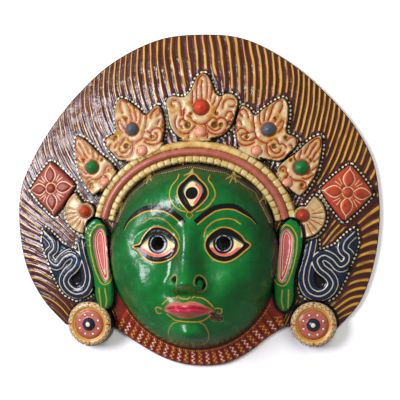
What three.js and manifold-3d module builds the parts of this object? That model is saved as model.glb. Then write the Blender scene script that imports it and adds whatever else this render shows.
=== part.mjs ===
// A painted papier-mache deity mask, lying on its rim with the face up.
// Millimetres. +Y runs to the top of the hair, +Z out of the face, and z = 0 is the flat rim.

import * as THREE from 'three';
import { mergeVertices } from 'three/addons/utils/BufferGeometryUtils.js';
import Module from 'manifold-3d';

const wasm = await Module();
wasm.setup();

// Driving dimensions of the shell
const HAIR_CENTRE = new THREE.Vector2(3, -10);
const RIM_HEIGHT = 4;
const DOME_RISE = 30;
const DOME_POWER = 2.4;
const HAIR_WALL = 6;
const FACE_WALL = 8;
const RIM_LAND = 6;
const RIM_ROUNDING = 1;

// The hair's edge, row by row: height, how far left, how far right
const HAIR_EDGE = [
  [-126, -133, 140],
  [-101.5, -156, 161],
  [-70, -173, 173.5],
  [-30, -181, 180.5],
  [10, -180, 180],
  [41.5, -167.5, 173.5],
  [73.5, -148, 156],
  [105.5, -122, 128.5],
  [137.5, -86, 91],
  [160.5, -38, 46],
];
const HAIR_TOP = [4, 165];
const COLLAR_EDGE = [[-82, -129], [-63.5, -141], [-40, -154.5], [-18, -162.5], [4, -165]];
const COLLAR_EDGE_RIGHT = [[30, -162], [52, -151], [74, -134], [89, -125]];

// The face is an egg: one half-width, a short half above its widest line and a long half below
const FACE_CENTRE = new THREE.Vector2(1, -50);
const FACE_HALF_WIDTH = 84;
const FACE_UP = 85;
const FACE_DOWN = 97;
const FACE_LEVEL = 76;
const FACE_FULLNESS = { side: 2.6, top: 0.62 };

// Rounded masses of the face: where, how wide, how tall, how much they stand out
const FACE_MASSES = [
  { x: 0, y: 4, wide: 44, tall: 24, rise: 11 },
  { x: -43, y: -82, wide: 20, tall: 21, rise: 9 },
  { x: 43, y: -82, wide: 20, tall: 21, rise: 9 },
  { x: 0, y: -103, wide: 27, tall: 14, rise: 13 },
  { x: 0, y: -127, wide: 19, tall: 13, rise: 21 },
  { x: -31, y: -41, wide: 19, tall: 13, rise: -11 },
  { x: 31, y: -41, wide: 19, tall: 13, rise: -11 },
  { x: 0, y: -77, wide: 9, tall: 8, rise: 4 },
  { x: -12.5, y: -81, wide: 6.5, tall: 6.5, rise: 10 },
  { x: 12.5, y: -81, wide: 6.5, tall: 6.5, rise: 10 },
];
const NOSE = { top: -16, tip: -79, foot: -91, rounding: 3, rise: 23, bridge: 8, flare: 3.5 };
const LIPS = { y: -104, halfWidth: 25, upper: 7, lower: 8.5, rise: 6, parting: 1.8, partingDepth: 0.6 };
const EYE = { x: 31.5, y: -41.5, halfWidth: 22, halfHeight: 15, rise: 7 };
const PUPIL_HOLES = [[-28.2, -41.5], [34.4, -40.9]];
const PUPIL_RADIUS = 6.2;

// The crown's ring runs over the forehead on an ellipse
const RING = { x: 1.5, y: -30, halfWidth: 90, height: 77, from: 8, to: 172 };
const RING_PEARLS = 24;
const RING_PEARL_LINE = 8;
const RING_PEARL_DIP = 2;
const RING_SECTION = [[-11, -6], [-11, 4], [-8, 7], [-4, 5], [0, 9], [4, 5], [8, 7], [11, 3], [11, -6]];

const HAIR_LOCKS = 40;
const LOCK_RELIEF = 0.8;
const COLLAR_RISE = 3;
const COLLAR_RELIEF = 1;

// Shapes of the crown's leaves round their gem, with +x away from the middle of the mask
const MIDDLE_LEAF = [
  [0, 34], [5, 27], [11, 14], [17, 10], [24, 14], [31, 13], [36, 7], [34, -7], [30, -19], [19, -29],
  [-19, -31], [-30, -20], [-33, -8], [-35, 8], [-30, 12], [-18, 10], [-10, 15], [-5, 27],
];
const UPPER_LEAF = [
  [14, 31.5], [18.2, 25.5], [18.7, 9.8], [17.5, -3], [23, -5.5], [29, -10], [26, -17.5], [19.8, -24],
  [12, -31], [-27, -19], [-32.9, 0], [-31.7, 11], [-26, 24], [-20, 21.5], [-13.5, 14.5], [-6, 20.5], [6.4, 29],
];
const LOWER_LEAF = [
  [18.5, 31.5], [20, 23], [18, 8], [14, -7], [9.6, -14.5], [4, -23], [-2, -28], [-24, -4], [-21.5, 2],
  [-14.5, 8.5], [-6, 14.5], [4, 24], [10, 28.5],
];
const LEAVES = [
  { shape: MIDDLE_LEAF, x: 8.2, y: 90.5, side: 1, gem: 8.2, curls: [[-16.5, -17.5, 10], [16, -18.5, 10]] },
  { shape: UPPER_LEAF, x: -60.3, y: 69.5, side: -1, gem: 6.3, curls: [[8, -17, 8.5], [-22, -6.5, 9.5]] },
  { shape: UPPER_LEAF, x: 74.2, y: 68.5, side: 1, gem: 6.6, curls: [[5.5, -21.5, 9], [-21, -5, 9]] },
  { shape: LOWER_LEAF, x: -100.7, y: 32.5, side: -1, gem: 6.6, curls: [[-17, -3, 6]] },
  { shape: LOWER_LEAF, x: 105.9, y: 31.5, side: 1, gem: 7.2, curls: [[-16, -4, 6]] },
];
const LEAF_HEIGHT = 6.5;
const LEAF_ROUNDING = 2;

// Gems and curls are turned: shares of their radius, with heights over what carries them
const GEM_PROFILE = [[0, -4], [1, -4], [1, 0.5], [0.6, 5], [0, 7]];
const CURL_PROFILE = [[0, -4], [1, -4], [1, 0], [0.65, 3.5], [0, 0.5]];

const FANS = [
  { x: -107, y: -11.5, side: -1 },
  { x: 107.2, y: -15, side: 1 },
];
const FAN = {
  radius: 22.5, from: 62, to: -98, flutes: 9, scallop: 0.8, groove: 1.2, height: 7, back: 4, backHalf: 8, gem: 6.6,
};

const DIAMONDS = [
  { x: -144.4, y: 11.7, side: -1 },
  { x: 150.3, y: 7.3, side: 1 },
];
const DIAMOND_CORNERS = [[2.3, 25.3], [-25.3, 2.9], [-3.8, -26.5], [22, -0.6]];
const DIAMOND_BOW = 0.06;
const DIAMOND_GEM = { radius: 5, rise: 2 };

// Heights over the dome, from the diamond's edge in to its middle
const DIAMOND_SECTION = new Map([[1, 2.5], [0.93, 5], [0.55, 6.5], [0.2, 4.5], [0, 5]]);

const RIBBON = [
  [109.8, -41], [105.9, -56], [102, -69], [102, -83], [105.4, -92.6], [114.6, -98.3], [125.3, -99.7], [136, -95],
  [140.8, -90], [144.6, -82.5], [149, -73], [153.3, -61], [158, -49.5], [160, -41.7], [158, -27], [151.4, -31],
  [144.6, -37], [138, -43.7], [128.2, -48], [122.4, -49.6], [121.4, -36.5],
];
const RIBBON_FOLD = [
  [112, -44], [107.5, -72], [111, -88], [124, -93], [136, -83], [135, -72], [124, -63], [129, -54], [140, -58],
  [147, -66], [151, -54], [146, -46], [155, -35],
];
const LEFT_RIBBON_SHIFT = 4.5;
const RIBBON_HEIGHT = 4.5;
const RIBBON_ROUNDING = 1.5;
const FOLD_HALF_SIZES = [2.2, 4.2];

const EAR = [
  [95, -18], [104, -23], [107.5, -33], [106, -51], [99.6, -76], [98, -98.5], [94, -107], [88, -109.7],
  [82, -105], [79, -95], [79, -80], [82, -60], [84, -45], [85, -28],
];
const EAR_BOWL = [
  [92, -27], [98, -34], [98.5, -46], [96, -60], [92, -73], [88, -80], [84, -78], [83.5, -66], [84.5, -50],
  [85.5, -36], [88, -29],
];
const EAR_HEIGHT = 9;
const EAR_ROUNDING = 3;
const EAR_BOWL_DEPTH = 4;

const EARRINGS = [
  { x: -105.8, y: -123.5 },
  { x: 116.9, y: -121.5 },
];
const EARRING_PROFILE = [
  [0, 0], [22.6, 0], [22.6, 17], [20, 21], [17.5, 21], [15.5, 19], [13.5, 21], [6, 22], [4.5, 24.5], [0, 26.5],
];
const EARRING_LEAN = 0.16;
const COLLAR_PLEATS = 24;

// How far a raised form reaches down into what carries it
const FOOT = 6;

// Curves
function smoothLine(points, count) {
  const corners = points.map(([x, y]) => new THREE.Vector3(x, y, 0));
  const curve = new THREE.CatmullRomCurve3(corners, false, 'centripetal');
  return curve.getSpacedPoints(count).map((p) => new THREE.Vector2(p.x, p.y));
}

// The mask's edge, anticlockwise: up the right of the hair, down its left, and along the collar
const rightHair = HAIR_EDGE.map(([y, , right]) => [right, y]);
const leftHair = HAIR_EDGE.map(([y, left]) => [left, y]).reverse();
const hairLine = smoothLine([...rightHair, HAIR_TOP, ...leftHair], 2 * HAIR_LOCKS);
const collarLine = smoothLine([...COLLAR_EDGE, ...COLLAR_EDGE_RIGHT], 2 * COLLAR_PLEATS);
const edge = [...hairLine, ...collarLine];

// How far the edge is from a centre, in the direction (dx, dy)
function reach(centre, dx, dy) {
  for (let i = 0; i < edge.length; i++) {
    const a = edge[i].clone().sub(centre);
    const step = edge[(i + 1) % edge.length].clone().sub(edge[i]);
    const across = dx * step.y - dy * step.x;
    const along = a.cross(step) / across;
    const share = (a.x * dy - a.y * dx) / across;
    if (along > 0 && share >= -1e-9 && share <= 1 + 1e-9) {
      return along * Math.hypot(dx, dy);
    }
  }
  return 1;
}

// Heights of the outer surface
function domeHeight(x, y) {
  const dx = x - HAIR_CENTRE.x;
  const dy = y - HAIR_CENTRE.y;
  const distance = Math.hypot(dx, dy);
  const share = distance < 1e-6 ? 0 : Math.min(distance / reach(HAIR_CENTRE, dx, dy), 1);
  return RIM_HEIGHT + DOME_RISE * (1 - share ** DOME_POWER);
}

function faceShare(x, y) {
  const tall = y > FACE_CENTRE.y ? FACE_UP : FACE_DOWN;
  return Math.hypot((x - FACE_CENTRE.x) / FACE_HALF_WIDTH, (y - FACE_CENTRE.y) / tall);
}

function bell(distance, width, power = 2) {
  return Math.exp(-(Math.abs(distance / width) ** power));
}

function ease(share) {
  const s = Math.min(Math.max(share, 0), 1);
  return s * s * (3 - 2 * s);
}

function noseRise(across, y) {
  const down = Math.min(Math.max((NOSE.top - y) / (NOSE.top - NOSE.tip), 0), 1);
  const under = ease((y - NOSE.foot) / (NOSE.tip + NOSE.rounding - NOSE.foot));
  const ridge = 0.25 * ease(3 * down) + 0.75 * down ** 1.3;
  return NOSE.rise * ridge * under * bell(across, NOSE.bridge + NOSE.flare * down, 2.6);
}

function lipRise(across, y) {
  const above = y - LIPS.y;
  const side = Math.max(1 - (across / LIPS.halfWidth) ** 2, 0);
  const body = side * bell(above, above > 0 ? LIPS.upper : LIPS.lower);
  const parting = LIPS.partingDepth * side * bell(above, LIPS.parting);
  return LIPS.rise * (body - parting);
}

function eyeRise(across, y) {
  const out = Math.hypot((Math.abs(across) - EYE.x) / EYE.halfWidth, (y - EYE.y) / EYE.halfHeight);
  return EYE.rise * Math.max(1 - out * out, 0);
}

// The face as seen from outside, or without its lips and eyeballs as the mould left it inside
function faceHeight(x, y, outside = true) {
  const share = Math.min(faceShare(x, y), 1);
  const profile = (1 - share ** FACE_FULLNESS.side) ** FACE_FULLNESS.top;
  const across = x - FACE_CENTRE.x;
  let features = noseRise(across, y) + (outside ? lipRise(across, y) + eyeRise(across, y) : 0);
  for (const mass of FACE_MASSES) {
    features += mass.rise * bell(across - mass.x, mass.wide) * bell(y - mass.y, mass.tall);
  }
  const dome = domeHeight(x, y);
  return dome + (FACE_LEVEL - dome) * profile + features * Math.min(2 * profile, 1);
}

// Solids
function solidFrom(geometry) {
  geometry.deleteAttribute('normal');
  geometry.deleteAttribute('uv');
  const merged = mergeVertices(geometry, 1e-4);
  const vertProperties = new Float32Array(merged.attributes.position.array);
  const triVerts = new Uint32Array(merged.index.array);
  return new wasm.Manifold(new wasm.Mesh({ numProp: 3, vertProperties, triVerts }));
}

function meshOf(vertices, triangles) {
  const geometry = new THREE.BufferGeometry();
  geometry.setAttribute('position', new THREE.Float32BufferAttribute(vertices.flat(), 3));
  geometry.setIndex(triangles.flat());
  return geometry;
}

// A mound of anticlockwise rings of points, from its outline in to its centre
function ringedSolid(rings, centre, top, floor) {
  const count = rings[0].length;
  const vertices = rings[0].map((p) => [p.x, p.y, floor]);
  for (const [k, ring] of rings.entries()) {
    vertices.push(...ring.map((p, i) => [p.x, p.y, top(p.x, p.y, i, k)]));
  }
  const peak = vertices.push([centre.x, centre.y, top(centre.x, centre.y, 0, rings.length)]) - 1;
  const foot = vertices.push([centre.x, centre.y, floor]) - 1;
  const last = rings.length * count;
  const triangles = [];
  for (let i = 0; i < count; i++) {
    const j = (i + 1) % count;
    for (let a = 0; a < last; a += count) {
      const b = a + count;
      triangles.push([a + i, a + j, b + j], [a + i, b + j, b + i]);
    }
    triangles.push([last + i, last + j, peak], [j, i, foot]);
  }
  return solidFrom(meshOf(vertices, triangles));
}

// A mound whose rings are its outline, shrunk to each share
function moundSolid(outline, centre, shares, top, floor) {
  const rings = shares.map((share) => outline.map((p) => centre.clone().lerp(p, share)));
  return ringedSolid(rings, centre, (x, y, i, k) => top(x, y, i, shares[k] ?? 0), floor);
}

// A form of even height with a rounded edge, laid over the dome
function raisedForm(outline, height, roundness) {
  const geometry = new THREE.ExtrudeGeometry(new THREE.Shape(outline), {
    depth: FOOT + height - roundness,
    bevelEnabled: true,
    bevelThickness: roundness,
    bevelSize: roundness,
    bevelOffset: -roundness,
    bevelSegments: 1,
  });
  const position = geometry.attributes.position;
  for (let i = 0; i < position.count; i++) {
    const lift = domeHeight(position.getX(i), position.getY(i)) - FOOT;
    position.setZ(i, position.getZ(i) + lift);
  }
  return solidFrom(geometry);
}

// A turned form on an upright axis, from a profile of radius and height
function turnedForm(profile, x, y, z, segments) {
  const geometry = new THREE.LatheGeometry(profile.map(([r, h]) => new THREE.Vector2(r, h)), segments);
  geometry.rotateX(Math.PI / 2);
  geometry.translate(x, y, z);
  return solidFrom(geometry);
}

function placed(points, { x, y, side }) {
  const moved = points.map(([px, py]) => [x + side * px, y + py]);
  return side > 0 ? moved : moved.reverse();
}

function anticlockwise(points) {
  return THREE.ShapeUtils.isClockWise(points) ? points.slice().reverse() : points;
}

// The hair and the collar under the chin: a shallow dome, combed in locks above and pleated below
function shellSolid() {
  const shares = [1, 0.97, 0.87, 0.7, 0.5];
  const top = (x, y, i, share) => {
    if (share === 1 || share === 0) {
      return domeHeight(x, y) - RIM_ROUNDING;
    }
    const ridge = i % 2 ? 1 : -1;
    const pleated = i > hairLine.length && i < edge.length - 1;
    return domeHeight(x, y) + (pleated ? COLLAR_RISE + COLLAR_RELIEF * ridge : LOCK_RELIEF * ridge);
  };
  return moundSolid(edge, HAIR_CENTRE, shares, top, 0);
}

function egg(margin, count) {
  const outline = [];
  for (let i = 0; i < count; i++) {
    const angle = (2 * Math.PI * i) / count;
    const tall = Math.sin(angle) > 0 ? FACE_UP : FACE_DOWN;
    const x = FACE_CENTRE.x + (FACE_HALF_WIDTH - margin) * Math.cos(angle);
    const y = FACE_CENTRE.y + (tall - margin) * Math.sin(angle);
    outline.push(new THREE.Vector2(x, y));
  }
  return outline;
}

function faceSolid() {
  const shares = [1, 0.97, 0.91, 0.82, 0.72, 0.62, 0.53, 0.45, 0.375, 0.31, 0.25, 0.19, 0.13, 0.06];
  const middle = new THREE.Vector2(FACE_CENTRE.x, NOSE.tip + 2);
  return moundSolid(egg(0, 46), middle, shares, (x, y) => faceHeight(x, y), 1);
}

// The hollow behind the hair and the face: out to the rim's land, then up inside the face
function hollowSolid() {
  const count = 36;
  const margin = 7;
  const least = 0.8;
  const inner = egg(margin, count);
  const outer = inner.map((p) => {
    const out = p.clone().sub(FACE_CENTRE);
    return FACE_CENTRE.clone().add(out.clone().setLength(reach(FACE_CENTRE, out.x, out.y) - RIM_LAND));
  });
  const behindHair = [0, 0.4].map((share) => outer.map((p, i) => p.clone().lerp(inner[i], share)));
  const shares = [1, 0.95, 0.85, 0.7, 0.52, 0.38, 0.24, 0.12];
  const behindFace = shares.map((share) => inner.map((p) => FACE_CENTRE.clone().lerp(p, share)));
  const spread = FACE_HALF_WIDTH / (FACE_HALF_WIDTH - margin);
  const top = (x, y, i, k) => {
    if (k < behindHair.length) {
      return Math.max(domeHeight(x, y) - HAIR_WALL, least);
    }
    const outward = new THREE.Vector2(x, y).sub(FACE_CENTRE).multiplyScalar(spread).add(FACE_CENTRE);
    return Math.max(faceHeight(outward.x, outward.y, false) - FACE_WALL, least);
  };
  return ringedSolid([...behindHair, ...behindFace], FACE_CENTRE, top, -20);
}

// The crown
function ringSolid() {
  const steps = 2 * RING_PEARLS;
  const vertices = [];
  for (let i = 0; i <= steps; i++) {
    const angle = THREE.MathUtils.degToRad(RING.from + ((RING.to - RING.from) * i) / steps);
    const x = RING.x + RING.halfWidth * Math.cos(angle);
    const y = RING.y + RING.height * Math.sin(angle);
    const out = new THREE.Vector2(RING.height * Math.cos(angle), RING.halfWidth * Math.sin(angle)).normalize();
    const base = domeHeight(x, y);
    for (const [off, height] of RING_SECTION) {
      const dip = Math.abs(off) === RING_PEARL_LINE && i % 2 === 0 ? RING_PEARL_DIP : 0;
      vertices.push([x + out.x * off, y + out.y * off, base + height - dip]);
    }
  }
  const sides = RING_SECTION.length;
  const triangles = [];
  for (let i = 0; i < steps; i++) {
    for (let k = 0; k < sides; k++) {
      const a = i * sides + k;
      const b = i * sides + ((k + 1) % sides);
      triangles.push([a, b, b + sides], [a, b + sides, a + sides]);
    }
  }
  const cap = THREE.ShapeUtils.triangulateShape(RING_SECTION.map(([u, v]) => new THREE.Vector2(u, v)), []);
  const end = steps * sides;
  for (const [a, b, c] of cap) {
    triangles.push([a, b, c], [end + c, end + b, end + a]);
  }
  return solidFrom(meshOf(vertices, triangles));
}

function gemSolid(x, y, z, radius) {
  return turnedForm(GEM_PROFILE.map(([share, height]) => [share * radius, height]), x, y, z, 10);
}

function curlSolid(x, y, z, radius) {
  return turnedForm(CURL_PROFILE.map(([share, height]) => [share * radius, height]), x, y, z, 10);
}

function leafSolids(leaf) {
  const outline = anticlockwise(placed(leaf.shape, leaf).map(([x, y]) => new THREE.Vector2(x, y)));
  const level = (x, y) => domeHeight(x, y) + LEAF_HEIGHT;
  const solids = [raisedForm(outline, LEAF_HEIGHT, LEAF_ROUNDING)];
  solids.push(gemSolid(leaf.x, leaf.y, level(leaf.x, leaf.y), leaf.gem));
  for (const [dx, dy, radius] of leaf.curls) {
    const x = leaf.x + leaf.side * dx;
    const y = leaf.y + dy;
    solids.push(curlSolid(x, y, level(x, y), radius));
  }
  return solids;
}

function fanSolids(fan) {
  const steps = 2 * FAN.flutes;
  const outline = [-1, 1].map((end) => new THREE.Vector2(fan.x - fan.side * FAN.back, fan.y + end * FAN.backHalf));
  for (let i = 0; i <= steps; i++) {
    const angle = THREE.MathUtils.degToRad(FAN.from + ((FAN.to - FAN.from) * i) / steps);
    const radius = FAN.radius + (i % 2 ? FAN.scallop : -FAN.scallop);
    outline.push(new THREE.Vector2(fan.x + fan.side * radius * Math.cos(angle), fan.y + radius * Math.sin(angle)));
  }
  const turned = fan.side > 0 ? outline.slice().reverse() : outline;
  const level = domeHeight(fan.x, fan.y);
  const top = (x, y, i, share) => {
    const height = share === 1 ? FAN.height / 2 : FAN.height;
    return domeHeight(x, y) + height - (i % 2 ? 0 : FAN.groove * share);
  };
  const centre = new THREE.Vector2(fan.x, fan.y);
  return [
    moundSolid(turned, centre, [1, 0.9, 0.45], top, level - 2 * FOOT),
    gemSolid(fan.x, fan.y, level + FAN.height, FAN.gem),
  ];
}

function diamondSolids(diamond) {
  const corners = placed(DIAMOND_CORNERS, diamond).map(([x, y]) => new THREE.Vector2(x, y));
  const centre = new THREE.Vector2(diamond.x, diamond.y);
  const outline = [];
  for (const [k, corner] of corners.entries()) {
    for (const share of [0.1, 0.3, 0.5, 0.7, 0.9]) {
      const point = corner.clone().lerp(corners[(k + 1) % corners.length], share);
      const bow = 1 + DIAMOND_BOW * Math.sin(Math.PI * share);
      outline.push(point.sub(centre).multiplyScalar(bow).add(centre));
    }
  }
  const level = domeHeight(diamond.x, diamond.y);
  const shares = [...DIAMOND_SECTION.keys()].filter((share) => share > 0);
  const top = (x, y, i, share) => domeHeight(x, y) + DIAMOND_SECTION.get(share);
  return [
    moundSolid(anticlockwise(outline), centre, shares, top, level - 2 * FOOT),
    gemSolid(diamond.x, diamond.y, level + DIAMOND_GEM.rise, DIAMOND_GEM.radius),
  ];
}

function mirrored(points, side, shift = 0) {
  return points.map(([x, y]) => new THREE.Vector2(side * x + shift, y));
}

function ribbonSolids(side) {
  const shift = side < 0 ? LEFT_RIBBON_SHIFT : 0;
  const outline = anticlockwise(mirrored(RIBBON, side, shift));
  const fold = mirrored(RIBBON_FOLD, side, shift).map(({ x, y }) => [x, y]);
  const route = smoothLine(fold, 20).map(({ x, y }) => new THREE.Vector3(x, y, domeHeight(x, y) + RIBBON_HEIGHT));
  const section = new THREE.Shape();
  section.absellipse(0, 0, ...FOLD_HALF_SIZES, 0, 2 * Math.PI);
  const ridge = new THREE.ExtrudeGeometry(new THREE.Shape(section.getPoints(3)), {
    steps: 15,
    extrudePath: new THREE.CatmullRomCurve3(route),
  });
  return [raisedForm(outline, RIBBON_HEIGHT, RIBBON_ROUNDING), solidFrom(ridge)];
}

function earSolid(side) {
  const ear = raisedForm(anticlockwise(mirrored(EAR, side)), EAR_HEIGHT, EAR_ROUNDING);
  const bowl = new THREE.Shape(anticlockwise(mirrored(EAR_BOWL, side)));
  const cutter = new THREE.ExtrudeGeometry(bowl, { depth: 3 * EAR_HEIGHT, bevelEnabled: false });
  const position = cutter.attributes.position;
  for (let i = 0; i < position.count; i++) {
    const lift = domeHeight(position.getX(i), position.getY(i)) + EAR_HEIGHT - EAR_BOWL_DEPTH;
    position.setZ(i, position.getZ(i) + lift);
  }
  return ear.subtract(solidFrom(cutter));
}

// The disc leans with the dome, its inner side higher, and its foot stays flat in the rim's plane
function earringSolid({ x, y }) {
  const geometry = new THREE.LatheGeometry(EARRING_PROFILE.map(([r, h]) => new THREE.Vector2(r, h)), 20);
  geometry.rotateX(Math.PI / 2);
  const inward = HAIR_CENTRE.clone().sub(new THREE.Vector2(x, y)).normalize();
  const position = geometry.attributes.position;
  for (let i = 0; i < position.count; i++) {
    const nearer = position.getX(i) * inward.x + position.getY(i) * inward.y;
    const lift = position.getZ(i) > RIM_HEIGHT ? EARRING_LEAN * nearer : 0;
    position.setZ(i, position.getZ(i) + lift);
  }
  geometry.translate(x, y, 0);
  return solidFrom(geometry);
}

// Put together
const pieces = [
  shellSolid(),
  faceSolid(),
  ringSolid(),
  ...LEAVES.flatMap(leafSolids),
  ...FANS.flatMap(fanSolids),
  ...DIAMONDS.flatMap(diamondSolids),
  ...[-1, 1].flatMap(ribbonSolids),
  ...[-1, 1].map(earSolid),
  ...EARRINGS.map(earringSolid),
];
let mask = pieces.reduce((whole, piece) => whole.add(piece));
mask = mask.subtract(hollowSolid());
for (const [x, y] of PUPIL_HOLES) {
  const drill = new THREE.CylinderGeometry(PUPIL_RADIUS, PUPIL_RADIUS, 2 * FACE_LEVEL, 20);
  drill.rotateX(Math.PI / 2);
  drill.translate(x, y, FACE_LEVEL);
  mask = mask.subtract(solidFrom(drill));
}

const cut = mask.getMesh();
const geometry = new THREE.BufferGeometry();
geometry.setAttribute('position', new THREE.BufferAttribute(cut.vertProperties, 3));
geometry.setIndex(new THREE.BufferAttribute(cut.triVerts, 1));
geometry.computeVertexNormals();
const lacquer = new THREE.MeshStandardMaterial({ color: 0x157a38, roughness: 0.3, metalness: 0 });
const body = new THREE.Mesh(geometry, lacquer);
body.name = 'mask';

const group = new THREE.Group();
group.add(body);

export default group;
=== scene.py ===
"""A painted papier-mache deity mask, lying on its rim with the face up. All shapes are in millimetres."""

import math

import bpy
import numpy as np
from mathutils import Matrix
from mathutils.geometry import tessellate_polygon


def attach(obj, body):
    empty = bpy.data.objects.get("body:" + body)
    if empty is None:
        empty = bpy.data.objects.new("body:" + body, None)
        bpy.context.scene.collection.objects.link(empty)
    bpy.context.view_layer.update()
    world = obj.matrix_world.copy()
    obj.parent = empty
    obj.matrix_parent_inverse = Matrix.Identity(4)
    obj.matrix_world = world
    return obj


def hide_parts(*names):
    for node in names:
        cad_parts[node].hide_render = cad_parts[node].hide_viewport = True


MM = 0.001

# A gap that stands for out of reach
FAR = 99.0

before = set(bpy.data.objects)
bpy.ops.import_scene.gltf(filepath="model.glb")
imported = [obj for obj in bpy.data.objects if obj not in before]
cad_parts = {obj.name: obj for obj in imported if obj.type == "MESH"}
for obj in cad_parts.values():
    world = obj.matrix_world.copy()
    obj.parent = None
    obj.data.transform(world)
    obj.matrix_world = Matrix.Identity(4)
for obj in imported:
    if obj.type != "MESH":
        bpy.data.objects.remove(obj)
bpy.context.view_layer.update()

# The mesh: its fineness outside and in the hollow, and how far its grid reaches
STEP = 1.08
HOLLOW_STEP = 3.2
GRID_HALF = (187, 171)
SHARP_FROM = math.radians(62)

# Grid points nearer to an outline than this share of a step are moved onto it
SNAP = 0.42

# How far under the dome a part lies where it doesn't show, and how far round a part its own marks reach
BURIED = 5
AROUND = 6

# The shell: a dome of hair over a flat rim, hollow behind
HAIR_CENTRE = (3, -10)
RIM_HEIGHT = 4
DOME_RISE = 30
DOME_POWER = 2.4
RIM_LAND = 6.2
HAIR_WALL = 6
FACE_WALL = 8
HOLLOW_MARGIN = 7
LEAST_HOLLOW = 0.8

# The outline; the scale keeps the mesh just inside the solid
EDGE_SCALE = 0.9996
HAIR_EDGE = [
    (140, -126), (161, -101.5), (173.5, -70), (180.5, -30), (180, 10), (173.5, 41.5), (156, 73.5),
    (128.5, 105.5), (91, 137.5), (46, 160.5), (4, 165), (-38, 160.5), (-86, 137.5), (-122, 105.5),
    (-148, 73.5), (-167.5, 41.5), (-180, 10), (-181, -30), (-173, -70), (-156, -101.5), (-133, -126),
]
COLLAR_EDGE = [
    (-82, -129), (-63.5, -141), (-40, -154.5), (-18, -162.5), (4, -165), (30, -162), (52, -151), (74, -134),
    (89, -125),
]

# The pleated collar
COLLAR_MIDDLE = 4
COLLAR_HALF_WIDTH = 84
COLLAR_TOP = -60
COLLAR_RISE = 3
PLEAT_RISE = 0.8
PLEAT_PITCH = 7.7

# How the hair is combed: where, and how far a strand leans from upright towards +X
STRAND_PITCH = 5.75
STRAND_RISE = 0.5
COMB = [
    (-26, 133, -9), (-52, 128, -5), (-84, 123, -5), (-98, 108, -8), (-113, 91, -11), (-138, 63, -21),
    (-153, 45, -24), (-164, 30, -29), (-169, 4, -43), (-172, -40, -60), (-160, -75, -68), (-145, -105, -75),
    (-38, 115, -7),
    (18, 140, -10), (45, 110, -6), (60, 134, -9), (83, 125, -4), (98, 102, 1), (105, 90, 8), (122, 88, 16),
    (135, 70, 23), (125, 37, 22), (161, 47, 20), (172, 27, 27), (170, -2, 40), (165, -40, 58), (160, -70, 66),
    (148, -105, 74),
]

# The face is an egg, with masses raised on it: x, y, how wide, how tall, how far out
FACE_CENTRE = (1, -50)
FACE_HALF_WIDTH = 84
FACE_UP = 85
FACE_DOWN = 97
FACE_LEVEL = 76
EGG_POWER = 2.6
EGG_ROUNDING = 0.62
FACE_MASSES = [
    (0, 4, 44, 24, 11), (-43, -82, 20, 21, 9), (43, -82, 20, 21, 9), (0, -103, 27, 14, 13),
    (0, -129, 18, 12, 22.5), (-31, -41, 19, 13, -11), (31, -41, 19, 13, -11), (0, -77, 9, 8, 4),
    (-12.5, -81, 6.5, 6.5, 10), (12.5, -81, 6.5, 6.5, 10),
]
NOSE = {"top": -16, "tip": -79, "foot": -91, "rounding": 3, "rise": 23, "bridge": 8, "flare": 3.5}
EYE = {"out": 31.5, "y": -41.5, "half_width": 22, "half_height": 15, "ball": 7, "lid": 1.1, "white": 0.8}
LIP_RISE = 6.5
PARTING_DEPTH = 3
NOSTRIL_DEPTH = 4
CHIP_DEPTH = 1.2

# Hand-smoothed papier-mache is a little uneven; the face is set back so that it stays inside the solid
UNEVENNESS = 0.35
FACE_SETBACK = 0.4

# The pierced pupils
PUPIL_HOLES = [(-28.2, -41.5), (34.4, -40.9)]
PUPIL_RADIUS = 6.2

# What is painted on the face
LIDS = [
    [(-53, -44.5), (-46, -42.5), (-42.5, -36), (-38, -30), (-34, -27), (-28, -26), (-20, -28), (-13.5, -33),
     (-8, -39.5), (-7, -45), (-12.5, -53), (-19.5, -57), (-27.5, -58.5), (-36, -57), (-44, -52),
     (-48.5, -47)],
    [(59, -42.5), (54, -39), (51, -34.5), (45.5, -30), (39.5, -27), (32.5, -26.5), (26.5, -29.5), (21, -34.5),
     (18.5, -39), (18, -43.5), (20, -49), (25, -54.5), (32, -57.5), (39, -57.5), (46.5, -54), (53, -48.5)],
    [(4, 24.5), (-3, 18), (-7, 13.5), (-8, 6.5), (-4.5, -1.5), (1.5, -9), (4, -11), (9.5, -7.5), (16, -1.5),
     (20, 5), (18, 12), (11, 19)],
]
WHITES = [
    [(-45.5, -45.5), (-40, -39.5), (-34, -34.5), (-29, -33.5), (-23, -34), (-18, -37.5), (-11, -42.5),
     (-14.5, -48), (-19.5, -52), (-27.5, -54), (-35.5, -52.5), (-41.5, -49)],
    [(53, -42.5), (48.5, -39.5), (43, -36.3), (37, -35), (31, -36), (25.5, -38.7), (21.5, -43), (24, -47.5),
     (29, -51.5), (36, -53), (42.5, -51.5), (48.5, -47)],
    [(4, 17.5), (12.5, 13), (14.5, 7.5), (11.5, -0.5), (6, -6), (1.5, 0.5), (-2, 6.5), (-1, 12)],
]
THIRD_PUPIL = (5, 6.5)
BROWS = [
    [(-64, -29), (-59.5, -20.5), (-51.5, -13.5), (-42.5, -8.5), (-32.5, -7), (-22.5, -7.5), (-13, -11.5),
     (-6, -17), (-1.5, -22)],
    [(65, -22.5), (60, -16.5), (53, -11), (45.5, -6.5), (37, -5.5), (27, -7.5), (19.5, -12), (12.5, -17.5),
     (8.5, -21)],
]
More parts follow.
